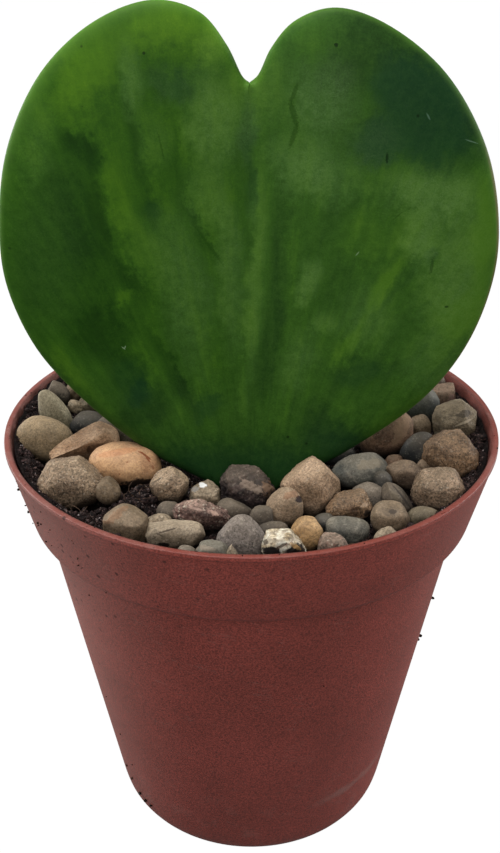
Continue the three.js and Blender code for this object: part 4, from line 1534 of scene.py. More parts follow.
OWN_PEBBLES: dict[str, Pebble] = {
    # left side
    "slate_1": Pebble(
        Rock.DUSK, (1.9, 1.5, 2), roll=-10, faces=((60, 10, 0.8), (150, 10, 0.75), (200, 30, 0.8)),
        shift=(-0.5, 0.0, 0.0),
    ),
    "brown_1": Pebble(
        Rock.DULL_TAN, (0.9, 0.9, 1.7), block=2.5, lumps=0.1, grow=(1.1, 1.1, 0.85), shift=(-1.0, 0.0, -0.5),
    ),
    "grey_1": Pebble(Rock.OLIVE, (2, 1.8, 1.5), roll=20, faces=((120, 20, 0.8), (270, 60, 0.8))),
    "slate_2": Pebble(Rock.DARK_SLATE, (2.1, 1.8, 1.5), worn=2, grow=(1.1, 1.1, 1.1)),
    "grey_2": Pebble(
        Rock.PLAIN_GREY, (2.2, 1.5, 1.5), roll=-22, block=2.4, faces=((60, 20, 0.8),), grow=(1.15, 1.1, 1.2),
    ),
    "sand_3": Pebble(
        Rock.SMOOTH_TAN, (3.4, 2.2, 2.9), roll=-20, lumps=0.02, worn=1, detail=5, shift=(-0.7, 0.0, 0.0),
    ),
    "olive_8": Pebble(
        Rock.GREEN_TAN, (1.9, 1.2, 3.6), roll=16, taper=0.2, lumps=0.03, worn=2,
        faces=((30, 30, 0.82), (190, 20, 0.85)), grow=(1.1, 1.0, 1.15), shift=(-0.2, -0.3, -0.4),
    ),
    "brown_5": Pebble(
        Rock.RIDGE, (4.3, 1.5, 2.0), turn=20, roll=18, block=3.0, crisp=0.03, lumps=0.03, rough=0.015, worn=1,
        faces=((116, 40, 0.62), (288, 38, 0.42), (14, 15, 0.88), (200, 20, 0.9), (60, 10, 0.84)),
        grow=(1.16, 1.1, 1.2), shift=(-0.5, -0.2, 0.1), detail=5,
        marks=(Mark(0.7, -0.2, 0.5, 0.22, "2e1f18", 70, 0.7), Mark(1.7, -0.4, 1.5, 1.0, "4a3222", 20, 0.6)),
    ),
    "tan_7": Pebble(
        Rock.SANDSTONE, (3.8, 2.7, 3.2), block=2.7, crisp=0.03, lumps=0.03, rough=0.045, worn=1,
        faces=(
            (98, 10, 0.82), (44, 8, 0.7), (150, 8, 0.82), (182, 4, 0.9), (226, 10, 0.84), (300, 20, 0.84),
            (75, 60, 0.86), (170, 50, 0.86),
        ),
        detail=5,
    ),
    "tan_1": Pebble(
        Rock.DULL_TAN, (1.5, 1.3, 1.7), roll=20, lumps=0.08, faces=((110, 20, 0.8), (40, 20, 0.8)),
        grow=(1.15, 1.05, 0.9), shift=(-1.2, 0.0, -0.2),
    ),
    "ochre_2": Pebble(
        Rock.OCHRE, (4.1, 2.7, 2.4), roll=-6, block=2.1, lumps=0.02, worn=0,
        faces=((90, 25, 0.94), (20, 10, 0.93)), detail=5,
        marks=(
            Mark(2.6, 1.1, 0.8, 0.12, RUST, -38, 0.9, 0.5), Mark(2.9, 0.6, 0.5, 0.1, RUST, -50, 0.8, 0.5),
            Mark(2.0, 1.5, 0.4, 0.1, RUST, -20, 0.7, 0.5), Mark(3.4, -0.2, 0.35, 0.12, RUST, -70, 0.5, 0.6),
            Mark(0.5, 0.4, 0.14, 0.1, RUST, 0, 0.7, 0.3), Mark(-0.4, -1.0, 0.12, 0.1, RUST, 0, 0.6, 0.3),
            Mark(1.4, -2.3, 2.6, 0.7, DAMP, 8, 0.95, 0.7), Mark(-0.8, 1.5, 2.8, 0.45, "b9693a", 10, 0.3, 0.5),
        ),
        shift=(0.6, 0.0, 0.0),
    ),
    # middle
    "tan_3": Pebble(
        Rock.DULL_TAN, (2.4, 1.9, 2.3), block=3.0, crisp=0.03, lumps=0.03, worn=2,
        faces=(
            (128, 12, 0.78), (52, 14, 0.8), (0, 8, 0.86), (180, 5, 0.88), (70, 55, 0.78), (215, 45, 0.86),
            (320, 45, 0.86),
        ),
        detail=5, marks=(Mark(-0.9, 1.2, 1.5, 0.5, "9a6038", 38, 0.22, 1.3),),
    ),
    "tan_2": Pebble(
        Rock.SANDSTONE, (2.0, 1.9, 2.5), roll=-30, block=2.4, lumps=0.05, rough=0.03, worn=3,
        faces=((120, 30, 0.76), (250, 30, 0.84), (205, 15, 0.8), (335, 20, 0.84), (50, 10, 0.8)), detail=5,
        grow=(1.1, 1.05, 1.08), shift=(0.2, 0.0, 0.0),
        marks=(
            Mark(-1.4, 0.8, 0.9, 0.12, "4a3c30", 30, 0.6, 0.5), Mark(0.3, -1.4, 1.8, 0.5, DAMP, 12, 0.6, 0.9),
        ),
    ),
    "grey_6": Pebble(Rock.DUSK, (1.1, 1.1, 1.2), grow=(1.3, 1.2, 1.1), shift=(0.5, 0.0, 0.0)),
    "quartz_2": Pebble(
        Rock.CREAM, (2.0, 1.6, 1.8), block=2.9, crisp=0.025, lumps=0.1, rough=0.03, worn=1,
        faces=(
            (52, 10, 0.78), (118, 15, 0.72), (4, 10, 0.86), (176, 20, 0.78), (285, 40, 0.8), (80, 60, 0.84),
        ),
        detail=5, grow=(1.08, 1.05, 1.05),
        marks=(
            Mark(-0.5, 1.62, 0.8, 0.42, "e0dfdc", -24, 1.0, 0.5),
            Mark(-1.3, 1.1, 0.7, 0.5, "8c8884", -10, 0.7, 0.6),
        ),
    ),
    "grey_3": Pebble(Rock.PLAIN_GREY, (1.3, 1, 1.6), grow=(0.98, 1.05, 1.0), shift=(1.15, 0.0, -0.8)),
    "pink_4": Pebble(
        Rock.GRANITE, (3.1, 1.3, 1.7), roll=-12, block=2.5, crisp=0.025, lumps=0.1, rough=0.05, worn=2,
        faces=(
            (112, 15, 0.76), (62, 10, 0.76), (180, 0, 0.92), (285, 45, 0.72), (60, 60, 0.84), (20, 20, 0.84),
        ),
        detail=5, grow=(1.06, 1.1, 1.1),
        marks=(
            Mark(0.4, 0.0, 0.9, 0.4, "3a2a26", -30, 0.7, 1.3),
            Mark(-0.6, 0.7, 0.9, 0.16, "c4a494", -12, 0.4, 0.7),
            Mark(1.5, 0.2, 0.6, 0.16, "c4a08c", -30, 0.45, 0.7),
            Mark(-1.4, -0.2, 0.8, 0.3, "4a3430", -20, 0.5, 0.8),
        ),
    ),
    "olive_1": Pebble(
        Rock.GREEN_GREY, (1.8, 1.2, 1.8), roll=-12, block=2.6, crisp=0.03,
        faces=((100, 20, 0.7), (160, 10, 0.8), (20, 20, 0.85)), grow=(1.15, 1.1, 1.0),
        marks=(Mark(-0.4, 0.9, 1.2, 0.3, "a08c78", -10, 0.3),), shift=(0.3, 0.0, 0.0),
    ),
    "sand_1": Pebble(
        Rock.PALE, (0.8, 0.8, 1.8), taper=0.5, faces=((30, 10, 0.55), (150, 10, 0.6)), grow=(1.2, 1.1, 1.0),
        shift=(-0.6, 0.0, 0.0),
    ),
    "olive_2": Pebble(
        Rock.DUSK, (2.0, 1.1, 1.6), roll=-26, block=2.3, faces=((110, 40, 0.8), (60, 10, 0.85)),
        grow=(1.15, 1.1, 1.05), shift=(-0.9, 0.0, -0.5),
    ),
    "grey_7": Pebble(
        Rock.GREY, (2.6, 1.8, 2.9), taper=0.22, block=2.3, lumps=0.03, worn=0,
        faces=((146, 12, 0.84), (32, 12, 0.86), (60, 40, 0.88), (185, 45, 0.9)), detail=5,
        grow=(1.06, 1.0, 1.02),
    ),
    "plum_1": Pebble(
        Rock.PLUM, (3.4, 2.2, 2.8), block=3.0, crisp=0.03, lumps=0.1, rough=0.12, worn=1,
        faces=(
            (92, 25, 0.84), (40, 10, 0.86), (142, 10, 0.84), (195, 25, 0.86), (330, 30, 0.84), (80, 65, 0.88),
        ),
        detail=5, shift=(0.2, 0.0, -0.4),
        marks=(
            Mark(0.4, 0.7, 1.6, 0.6, "94806f", -24, 0.55, 1.4),
            Mark(2.3, 0.5, 0.7, 1.0, "86684f", 0, 0.5, 1.2),
            Mark(-1.4, 0.4, 0.9, 0.5, "6a5850", 20, 0.4, 1.3),
        ),
    ),
    "olive_3": Pebble(Rock.DUSK, (1.2, 1.1, 1.8), grow=(1.25, 1.2, 1.05), shift=(0.1, 0.0, 0.4)),
    "sand_4": Pebble(
        Rock.BUFF, (2.2, 1.8, 2.4), lumps=0.03, worn=2, faces=((130, 10, 0.86), (40, 20, 0.88)), detail=5,
        grow=(1.05, 1.05, 1.04),
        marks=(
            Mark(1.65, 1.05, 0.5, 0.45, "241512", -20, 1.0, 0.5),
            Mark(0.9, 1.6, 1.2, 0.4, "8a5636", 10, 0.35, 1.2),
        ),
        shift=(0.2, 0.0, 0.1),
    ),
    "tan_6": Pebble(
        Rock.BRIGHT_TAN, (3.4, 2.5, 3.5), block=2.3, crisp=0.03, lumps=0.03, rough=0.03, worn=0,
        faces=(
            (134, 5, 0.7), (44, 5, 0.72), (4, 8, 0.88), (318, 22, 0.74), (222, 15, 0.78), (100, 45, 0.84),
            (345, 45, 0.8), (250, 55, 0.9),
        ),
        detail=5,
    ),
    "quartz_1": Pebble(
        Rock.QUARTZ, (2.9, 1.5, 1.9), roll=-20, block=2.5, crisp=0.03, lumps=0.08, rough=0.04, worn=2,
        faces=((92, 25, 0.72), (40, 12, 0.7), (160, 15, 0.86)), detail=5,
        marks=(
            Mark(1.25, 0.1, 1.4, 0.7, DAMP, 8, 1.0, 0.6), Mark(-1.4, 0.05, 1.1, 0.55, DAMP, 0, 1.0, 0.6),
            Mark(-0.3, 0.6, 0.8, 0.2, "3c2c20", 30, 0.8, 0.8),
            Mark(-2.0, 0.9, 0.4, 0.3, "3a2c22", 0, 0.8, 0.7),
            Mark(1.1, 0.5, 0.9, 0.25, "c49a62", -30, 0.5, 0.9),
        ),
        grow=(0.98, 1.0, 1.0), shift=(-0.3, 0.0, 0.0),
    ),
    "ochre_1": Pebble(
        Rock.AMBER, (1.7, 1.4, 2.2), roll=-10, taper=-0.15, worn=2, faces=((30, 5, 0.84), (140, 15, 0.8)),
        grow=(1.1, 1.05, 1.04), shift=(-0.25, 0.0, 0.0),
    ),
    "pink_1": Pebble(
        Rock.SPECKLED, (1.9, 1.4, 1.9), roll=-8, block=2.5, crisp=0.03, rough=0.03,
        faces=((85, 20, 0.74), (150, 10, 0.8), (30, 20, 0.8)), grow=(1.12, 1.05, 1.0),
    ),
    "slate_5": Pebble(Rock.GREEN_GREY, (2.4, 1.3, 1.4), roll=-6, block=2.7, worn=2, grow=(1.08, 1.1, 1.05)),
    # right side
    "pink_5": Pebble(
        Rock.COARSE_BROWN, (2.8, 1.8, 2.0), roll=14, block=2.6, crisp=0.025, lumps=0.08, rough=0.06, worn=2,
        faces=(
            (104, 12, 0.76), (24, 5, 0.84), (146, 5, 0.7), (258, 20, 0.82), (322, 15, 0.84), (110, 60, 0.86),
            (20, 50, 0.86),
        ),
        detail=5, grow=(1.08, 1.05, 1.08),
        marks=(
            Mark(1.9, -0.6, 0.5, 0.4, DAMP, 0, 0.9, 0.8), Mark(1.4, 0.3, 0.5, 0.3, "b59c84", 20, 0.4, 1.2),
            Mark(0.2, -0.2, 0.9, 0.4, "4a3426", -20, 0.4, 1.2),
        ),
    ),
    "grey_4": Pebble(Rock.PLAIN_GREY, (1.7, 1.2, 1.6), grow=(1.3, 1.2, 1.1), shift=(0.1, 0.0, -0.8)),
    "grey_8": Pebble(
        Rock.GREEN_GREY, (3.4, 2.1, 2.0), roll=10, block=2.3, lumps=0.03, worn=1,
        faces=((50, 15, 0.84), (125, 30, 0.82), (15, 25, 0.88), (285, 20, 0.86)), detail=5,
        marks=(Mark(1.0, 0.9, 1.8, 0.6, "8a7c66", 10, 0.38, 0.9),),
    ),
    "olive_6": Pebble(Rock.DARK_SLATE, (1, 1, 1.5), grow=(1.15, 1.1, 1.0), shift=(-0.9, 0.0, 0.5)),
    "pink_3": Pebble(
        Rock.BROWN, (2.5, 1.3, 1.7), roll=-20, block=2.4,
        faces=((110, 20, 0.8), (200, 20, 0.84), (60, 50, 0.84)), detail=5, grow=(1.15, 1.1, 1.1),
        shift=(-0.55, 0.0, 0.0),
    ),
    "olive_5": Pebble(
        Rock.DUSK, (1.3, 1.5, 2.6), roll=38, block=2.3, faces=((60, 30, 0.78), (160, 20, 0.84)),
        grow=(1.15, 1.1, 1.12), detail=5,
        marks=(
            Mark(0.5, 0.3, 2.2, 0.12, "2c2620", -52, 0.8, 0.4),
            Mark(-0.4, 0.5, 1.2, 0.4, "7c705c", -50, 0.4, 0.9),
        ),
    ),
    "tan_4": Pebble(
        Rock.DULL_TAN, (2.1, 1.7, 2.0), worn=2, faces=((95, 55, 0.8), (150, 10, 0.86), (30, 15, 0.86)),
        detail=5, grow=(1.06, 1.05, 1.05),
        marks=(
            # painted shade of a hollow near its top
            Mark(0.1, 0.75, 0.5, 0.32, "2a211b", 0, 0.9, 0.9),
            Mark(0.0, 0.7, 1.0, 0.6, "5a4e42", 0, 0.45, 1.0),
        ),
    ),
    "sand_2": Pebble(
        Rock.PALE, (1.5, 0.9, 1.5), taper=0.3, faces=((130, 20, 0.74), (40, 10, 0.8)), grow=(1.15, 1.1, 1.0),
        shift=(0.45, 0.0, 0.0),
    ),
    "olive_4": Pebble(
        Rock.OLIVE, (1.9, 1.3, 1.5), roll=10, worn=1, grow=(1.12, 1.05, 1.0), shift=(0.2, 0.0, -0.6),
    ),
    "tan_5": Pebble(
        Rock.COARSE_TAN, (3, 2.4, 2.5), block=2.6, lumps=0.03, rough=0.035, worn=2,
        faces=((100, 25, 0.86), (150, 10, 0.88), (30, 15, 0.88), (320, 15, 0.88), (90, 60, 0.88)), detail=5,
        shift=(0.3, 0.0, 0.0),
    ),
    "brown_4": Pebble(
        Rock.COARSE_BROWN, (3.6, 2.8, 3.2), block=2.5, crisp=0.025, lumps=0.06, rough=0.06, worn=1,
        faces=(
            (122, 10, 0.8), (40, 8, 0.72), (178, 10, 0.86), (350, 8, 0.86), (222, 20, 0.72), (296, 20, 0.82),
            (88, 60, 0.86), (200, 50, 0.86), (20, 40, 0.86),
        ),
        detail=5, shift=(0.0, -0.3, -0.6),
    ),
    "slate_3": Pebble(
        Rock.DARK_SLATE, (2.2, 1.5, 2.6), roll=-30, worn=1, grow=(1.7, 1.1, 1.0), shift=(1.7, 0.0, -0.6),
    ),
    "brown_3": Pebble(
        Rock.DULL_TAN, (1.4, 1.2, 1.8), faces=((120, 20, 0.8),), grow=(1.2, 1.1, 1.05),
        shift=(0.3, 0.0, -0.4),
    ),
    "rust_1": Pebble(
        Rock.RUSSET, (3.6, 2.4, 2.9), roll=30, worn=2, faces=((0, 5, 0.88), (50, 10, 0.9)), detail=5,
        marks=(Mark(1.9, 0.9, 2.6, 0.8, "a08468", 62, 0.45, 0.9),),
    ),
    "slate_4": Pebble(Rock.SLATE, (2.3, 2.1, 2.8), worn=1, faces=((50, 15, 0.9),)),
    "olive_7": Pebble(
        Rock.CREASED, (2.9, 2.4, 2.9), block=2.6, crisp=0.02, lumps=0.13, rough=0.04, worn=1,
        faces=(
            (112, 15, 0.8), (52, 8, 0.78), (24, 42, 0.66), (352, 5, 0.86), (196, 25, 0.82), (262, 38, 0.82),
            (100, 60, 0.84), (306, 25, 0.8),
        ),
        detail=5, shift=(0.1, 0.0, -0.3),
        marks=(
            Mark(0.9, 0.1, 1.5, 0.16, "b0a188", 22, 0.6, 0.5),
            # painted shade of a hollow
            Mark(0.9, 1.15, 1.2, 0.5, "332c24", 16, 0.7, 0.6),
        ),
    ),
    "pink_2": Pebble(
        Rock.PINK, (1.8, 1.4, 2.2), block=2.9, crisp=0.03,
        faces=((100, 30, 0.74), (10, 10, 0.84), (190, 20, 0.8)), grow=(1.12, 1.0, 1.0),
        marks=(
            Mark(-0.3, 0.3, 0.9, 0.6, "463e36", 0, 0.3, 0.9),
            Mark(1.0, -0.2, 0.6, 1.2, "9c7c74", 0, 0.5, 0.9),
        ),
        shift=(0.4, -0.5, -0.8),
    ),
    "grey_5": Pebble(
        Rock.PLAIN_GREY, (1.5, 1.3, 2.1), faces=((60, 20, 0.84), (150, 20, 0.84)), grow=(1.15, 1.0, 1.0),
        shift=(0.8, -0.5, -1.0),
    ),
    "brown_2": Pebble(Rock.DARK_SLATE, (1.8, 1.5, 1.2), grow=(1.15, 1.1, 1.1)),
}
"""The pebbles that have a frame node each, by what their nodes are called."""

SHOULDERED_PAIR: tuple[Pebble, ...] = (
    Pebble(
        Rock.PALE, (3.5, 1.4, 1.5), roll=3, block=3.0, crisp=0.03, at=(2.2, -1.5, 0.0),
        shift=(-1.35, 0.0, 0.0), lumps=0.05, worn=2,
        faces=((96, 20, 0.8), (150, 20, 0.82), (200, 10, 0.88), (20, 10, 0.9), (320, 20, 0.84)), detail=5,
        marks=(
            Mark(-0.6, 0.5, 1.2, 0.09, "3c3026", 16, 0.85, 0.25),
            Mark(-1.4, 0.05, 0.5, 0.08, "3c3026", -20, 0.7, 0.25),
            Mark(-1.3, -1.3, 1.2, 0.45, DAMP, 18, 1.0, 0.8),
        ),
    ),
    Pebble(
        Rock.CREAM, (1.6, 1.2, 1.6), at=(0.0, 0.0, 0.2), faces=((120, 20, 0.84),), shift=(-0.7, 0.0, -0.3),
    ),
)
"""The two that share a frame node."""

SMALL_PEBBLES: tuple[tuple[str, str, Pebble], ...] = (
    ("chip_left_rim", "sand", Pebble(Rock.PALE, (1.6, 0.8, 0.6), roll=12, at=(-26.4, 7.4, 53.3), detail=3)),
    ("chip_left_back", "sand", Pebble(
        Rock.CREAM, (1.1, 0.8, 0.8), roll=-20, block=2.8, lumps=0.12, at=(-22.6, 6.6, 53.4), detail=3,
    )),
    ("chip_middle", "olive", Pebble(Rock.DUSK, (1.7, 1.0, 1.0), at=(2.4, -21.2, 52.7), detail=3)),
    ("chip_front_right", "slate", Pebble(Rock.DARK_SLATE, (1.3, 1.0, 1.1), at=(8.1, -19.2, 52.3), detail=3)),
    ("chip_under_plum", "grey", Pebble(Rock.DUSK, (1.2, 0.9, 0.9), at=(-1.0, -11.5, 51.9), detail=3)),
    ("chip_under_tan", "tan", Pebble(Rock.DULL_TAN, (0.9, 0.8, 0.9), at=(3.4, -16.2, 51.9), detail=3)),
    ("chip_right", "olive", Pebble(Rock.DUSK, (1.2, 0.9, 1.0), roll=-20, at=(15.4, -12.6, 52.2), detail=3)),
    ("chip_right_back", "rust", Pebble(Rock.RUSSET, (1.1, 0.9, 1.0), at=(17.3, -5.2, 52.1), detail=3)),
    ("chip_right_rim", "brown", Pebble(Rock.BROWN, (1.0, 0.8, 1.2), at=(20.6, -6.6, 51.9), detail=3)),
    ("chip_left_middle", "brown", Pebble(Rock.DUSK, (1.3, 1.0, 0.9), at=(-8.6, -12.0, 51.9), detail=3)),
    ("chip_front_left", "tan", Pebble(Rock.DULL_TAN, (0.9, 0.8, 0.8), at=(-9.4, -16.6, 52.0), detail=3)),
    ("chip_front", "grey", Pebble(Rock.PLAIN_GREY, (1.1, 0.8, 0.8), at=(-4.9, -25.2, 52.6), detail=3)),
)
"""Small ones that show between the others, each with its name and material slot."""


@dataclass
class Dressing:
    """The pebbles over the soil, in front of the leaf and at its sides."""

    pair_node: str = "sand_5"
    seed: int = 300
    small_seed: int = 700

    def build(self) -> list[bpy.types.Object]:
        """Lays every pebble, those that have a frame node of their own first.

        Returns:
            Their pieces.
        """
        groups = {node: [pebble] for node, pebble in OWN_PEBBLES.items()}
        groups[self.pair_node] = list(SHOULDERED_PAIR)
        pieces = []
        for i, (node, members) in enumerate(groups.items()):
            slot = node.rsplit("_", 1)[0]
            pieces += lay_pebbles(f"stone_{node}", members, self.seed + 13 * i, slot, f"pebble_{node}")
        for i, (name, slot, pebble) in enumerate(SMALL_PEBBLES):
            pieces += lay_pebbles(name, [pebble], self.small_seed + 7 * i, slot)
        return pieces


@dataclass
class BackRows:
    """The pebbles behind the leaf: rows round the pot's axis, each group one frame node."""

    rows: tuple[tuple[float, float, float, tuple[int, ...]], ...] = (
        (25.0, 38.0, 142.0, (4, 4)), (18.3, 26.0, 150.0, (3, 4)), (11.8, 18.0, 164.0, (3, 3)),
        (4.6, 24.0, 156.0, (3,)),
    )
    gaps: tuple[float, ...] = (21.8, 15.1, 8.4)
    fill_from: float = 20.0
    fill_to: float = 160.0
    fillers: int = 21
    seed: int = 77
    stone_seed: int = 900
    filler_seed: int = 1500
    slots: tuple[str, ...] = ("tan", "slate", "rust", "grey", "ochre", "olive", "sand")
    mixes: dict[str, tuple[Rock, ...]] = field(
        default_factory=lambda: {
            "tan": (Rock.BUFF, Rock.SANDSTONE, Rock.SMOOTH_TAN, Rock.COARSE_TAN),
            "slate": (Rock.SLATE, Rock.GREEN_GREY, Rock.DARK_SLATE, Rock.GREY),
            "rust": (Rock.RUSSET, Rock.COARSE_BROWN, Rock.BROWN),
            "grey": (Rock.GREY, Rock.PLAIN_GREY, Rock.GREEN_GREY, Rock.PALE),
            "ochre": (Rock.AMBER, Rock.BUFF, Rock.OCHRE), "olive": (Rock.OLIVE, Rock.CREASED, Rock.GREEN_TAN),
            "sand": (Rock.PALE, Rock.SMOOTH_TAN, Rock.CREAM),
        }
    )

    def build(self) -> list[bpy.types.Object]:
        """Lays the rows.

        Returns:
            The pieces, with those of the fillers.
        """
        draw = np.random.default_rng(self.seed)
        pieces = []
        group = 0
        for radius, start, end, sizes in self.rows:
            stride = (end - start) / sum(sizes)
            length = math.radians(stride) * radius
            place = 0
            for size in sizes:
                slot = self.slots[group]
                members = []
                for i in range(size):
                    angle = start + (place + 0.5) * stride
                    place += 1
                    turn = math.radians(angle)
                    out = radius + draw.uniform(-1.0, 0.7)
                    grown = draw.uniform(0.76, 1.12)
                    faces = tuple(
                        (draw.uniform(0, 360), draw.uniform(-80, 80), draw.uniform(0.74, 0.88))
                        for _ in range(3)
                    )
                    members.append(
                        Pebble(
                            self.mixes[slot][i % len(self.mixes[slot])],
                            (
                                grown * draw.uniform(2.3, 3.0),
                                grown * length * 0.5 * draw.uniform(0.85, 1.15),
                                grown * draw.uniform(2.1, 3.0),
                            ),
                            turn=angle + draw.uniform(-35, 35),
                            block=draw.uniform(2.0, 2.8),
                            taper=draw.uniform(-0.15, 0.2),
                            faces=faces,
                            lumps=draw.uniform(0.03, 0.1),
                            at=(out * math.cos(turn), out * math.sin(turn), draw.uniform(-0.6, 0.5)),
                        )
                    )
                seed = self.stone_seed + 41 * group
                pieces += lay_pebbles(f"stone_back_{slot}", members, seed, slot, f"back_pebbles_{slot}_1")
                group += 1
        return pieces + self.fill()

    def fill(self) -> list[bpy.types.Object]:
        """Lays small pebbles in the gaps between the rows.

        Returns:
            Their pieces.
        """
        draw = np.random.default_rng(self.seed + 1)
        pieces = []
        for i in range(self.fillers):
            slot = self.slots[i % len(self.slots)]
            swept = (self.fill_to - self.fill_from) * (i + draw.uniform(0, 1)) / self.fillers
            turn = math.radians(self.fill_from + swept)
            out = self.gaps[i % len(self.gaps)] + draw.uniform(-0.6, 0.6)
            size = draw.uniform(0.8, 1.4)
            pebble = Pebble(
                self.mixes[slot][i % len(self.mixes[slot])],
                (size * draw.uniform(0.8, 1.3), size * draw.uniform(0.8, 1.1), size * draw.uniform(0.7, 1.0)),
                turn=draw.uniform(0, 180), lumps=0.1,
                at=(out * math.cos(turn), out * math.sin(turn), draw.uniform(51.9, 52.6)), detail=3,
            )
            pieces += lay_pebbles(f"chip_back_{i + 1}", [pebble], self.filler_seed + 7 * i, slot)
        return pieces


# ---------------------------------------------------------------- soil
@dataclass
class Soil:
    """The peat: a crumbly surface over the frame's soil, with crumbs, fibres and white bits strewn on it."""

    node: str = "soil"
    edge: float = 28.85
    lowest: float = 48.8
    bank_from: float = 25.2
    bank_top: float = 54.1
    bank_tilt: float = 0.4
    mounds: tuple[tuple[float, float, float, float], ...] = (
        (-12.6, -14.0, 3.0, 1.5), (-16.5, -18.5, 3.0, 0.6), (27.0, -3.0, 3.0, 0.3),
    )
    underside: tuple[Place, ...] = (
        (28.0, 51.0), (26.3, 45.0), (24.7, 44.0), (17.0, 4.0), (15.5, 2.1), (0.1, 2.1),
    )
    sectors: int = 400
    rings: int = 130
    above: float = 80.0
    finish: SoilFinish = field(default_factory=SoilFinish)

    def heights(self, flat: np.ndarray) -> np.ndarray:
        """The frame soil's height over each place, never deeper than the stalk's dip.

        Args:
            flat: the places, in millimetres.

        Returns:
            The height at each.
        """
        ground = surface_of([bpy.data.objects[self.node]])
        down = Vector((0, 0, -1))
        out = np.full(len(flat), self.lowest)
        for i, (x, y) in enumerate(flat):
            hit = ground.ray_cast(Vector((x * MM, y * MM, self.above * MM)), down)
            if hit[0] is not None:
                out[i] = max(self.lowest, hit[0].z / MM)
        return out

    def build(self, stones: Sequence[bpy.types.Object]) -> list[bpy.types.Object]:
        """Makes the soil and what lies on it.

        Args:
            stones: the pebbles, which hide the soil under them.

        Returns:
            The pieces.
        """
        share = np.linspace(0.004, 1, self.rings)
        angles = np.linspace(0, 2 * math.pi, self.sectors, endpoint=False)
        turns = [(math.cos(a), math.sin(a)) for a in angles]
        flat = np.array([(self.edge * s * cos, self.edge * s * sin) for s in share for cos, sin in turns])
        level = self.heights(flat)
        spots = np.column_stack([flat, np.zeros(len(flat))])
        banked = np.clip((np.hypot(*flat.T) - self.bank_from) / (self.edge - self.bank_from), 0, 1)
        bank = self.bank_top - self.bank_tilt * flat[:, 0] / self.edge
        level = np.maximum(level, level + (bank - level) * banked**2 * (3 - 2 * banked))
        for x, y, reach, rise in self.mounds:
            level += rise * np.exp(-((flat[:, 0] - x) ** 2 + (flat[:, 1] - y) ** 2) / reach**2)
        calm = 1 - 0.5 * banked
        coarse = 0.3 * Waves(11, 3.2).at(spots) + 0.26 * Waves(12, 1.3, 20).at(spots)
        level += coarse * calm + 0.16 * Waves(13, 0.7, 24).at(spots)
        points = [np.column_stack([flat, level])]
        for radius, height in self.underside:
            points.append(np.array([(radius * math.cos(a), radius * math.sin(a), height) for a in angles]))
        n = self.sectors
        last = self.rings + len(self.underside) - 1
        caps = [tuple(reversed(range(n))), tuple(range(last * n, (last + 1) * n))]
        piece = make_object("soil_bed", np.vstack(points), caps + ring_faces(last, n))
        shape = bmesh.new()
        shape.from_mesh(piece.data)
        bmesh.ops.recalc_face_normals(shape, faces=shape.faces)
        shape.to_mesh(piece.data)
        shape.free()
        piece.data.materials.append(self.finish.material())
        top = self.top_of(points[0], stones)
        pieces = [settle(piece, "soil", self.node)]
        pieces += self.strew(top)
        return pieces

    def top_of(self, points: np.ndarray, stones: Sequence[bpy.types.Object]) -> bpy.types.Object:
        """The soil's upper surface, each point marked with how open it lies to the sky.

        Args:
            points: the surface's points, ring by ring.
            stones: the pebbles that cover it.

        Returns:
            The surface.
        """
        top = make_object("soil_top", points, ring_faces(self.rings - 3, self.sectors))
        cover = surface_of(stones)
        lifted = Vector((0, 0, 0.02 * MM))
        bare = []
        for vertex in top.data.vertices:
            hit = cover.ray_cast(vertex.co + lifted, Vector((0, 0, 1)))
            bare.append(1.0 if hit[0] is None else float(np.clip((hit[3] / MM - 0.4) / 4.0, 0, 0.3)))
        mark = top.data.attributes.new("bare", "FLOAT", "POINT")
        mark.data.foreach_set("value", bare)
        return top

    @staticmethod
    def crumb_tree() -> GeometryTree:
        """Geometry Nodes that strew turned, uneven crumbs where the soil lies bare.

        Returns:
            The tree.
        """
        tree = GeometryTree("strewn_crumbs", ["Density", "Smallest", "Largest", "Flatness", "Seed", "Finish"])
        points = tree.strewn()
        ball = tree.node("GeometryNodeMeshIcoSphere", inputs={"Radius": 0.5, "Subdivisions": 1})
        turn = tree.drawn((0.0, 0.0, 0.0), (FULL_TURN, FULL_TURN, FULL_TURN), 1.0)
        size = tree.drawn(0.0, 1.0, 2.0) ** 1.8
        size = tree.given("Smallest") + size * (tree.given("Largest") - tree.given("Smallest"))
        x, y, z = tree.split(tree.drawn((0.6, 0.6, 0.6), (1.4, 1.4, 1.4), 3.0))
        scale = tree.combine(x * size, y * size, z * size * tree.given("Flatness"))
        inputs = {"Points": points, "Instance": ball, "Rotation": turn, "Scale": scale}
        tree.finish(tree.node("GeometryNodeInstanceOnPoints", inputs=inputs))
        return tree

    @staticmethod
    def fibre_tree() -> GeometryTree:
        """Geometry Nodes that lay short bent fibres where the soil lies bare.

        Returns:
            The tree.
        """
        given = ["Density", "Smallest", "Largest", "Thickness", "Seed", "Finish"]
        tree = GeometryTree("strewn_fibres", given)
        points = tree.strewn()
        ends = {"Start": (-0.5, 0.0, 0.0), "Middle": (0.05, 0.5, 0.35), "End": (0.5, -0.1, 0.1)}
        bend = tree.node("GeometryNodeCurveQuadraticBezier", inputs={"Resolution": 5, **ends})
        turn = tree.drawn((-0.6, -0.6, 0.0), (0.6, 0.6, FULL_TURN), 1.0)
        size = tree.drawn(tree.given("Smallest"), tree.given("Largest"), 2.0)
        inputs = {"Points": points, "Instance": bend, "Rotation": turn, "Scale": size}
        laid = tree.node("GeometryNodeInstanceOnPoints", inputs=inputs)
        laid = tree.node("GeometryNodeRealizeInstances", inputs={0: laid})
        round_wire = {"Resolution": 4, "Radius": tree.given("Thickness")}
        section = tree.node("GeometryNodeCurvePrimitiveCircle", inputs=round_wire)
        inputs = {"Curve": laid, "Profile Curve": section, "Fill Caps": True}
        tree.finish(tree.node("GeometryNodeCurveToMesh", inputs=inputs))
        return tree

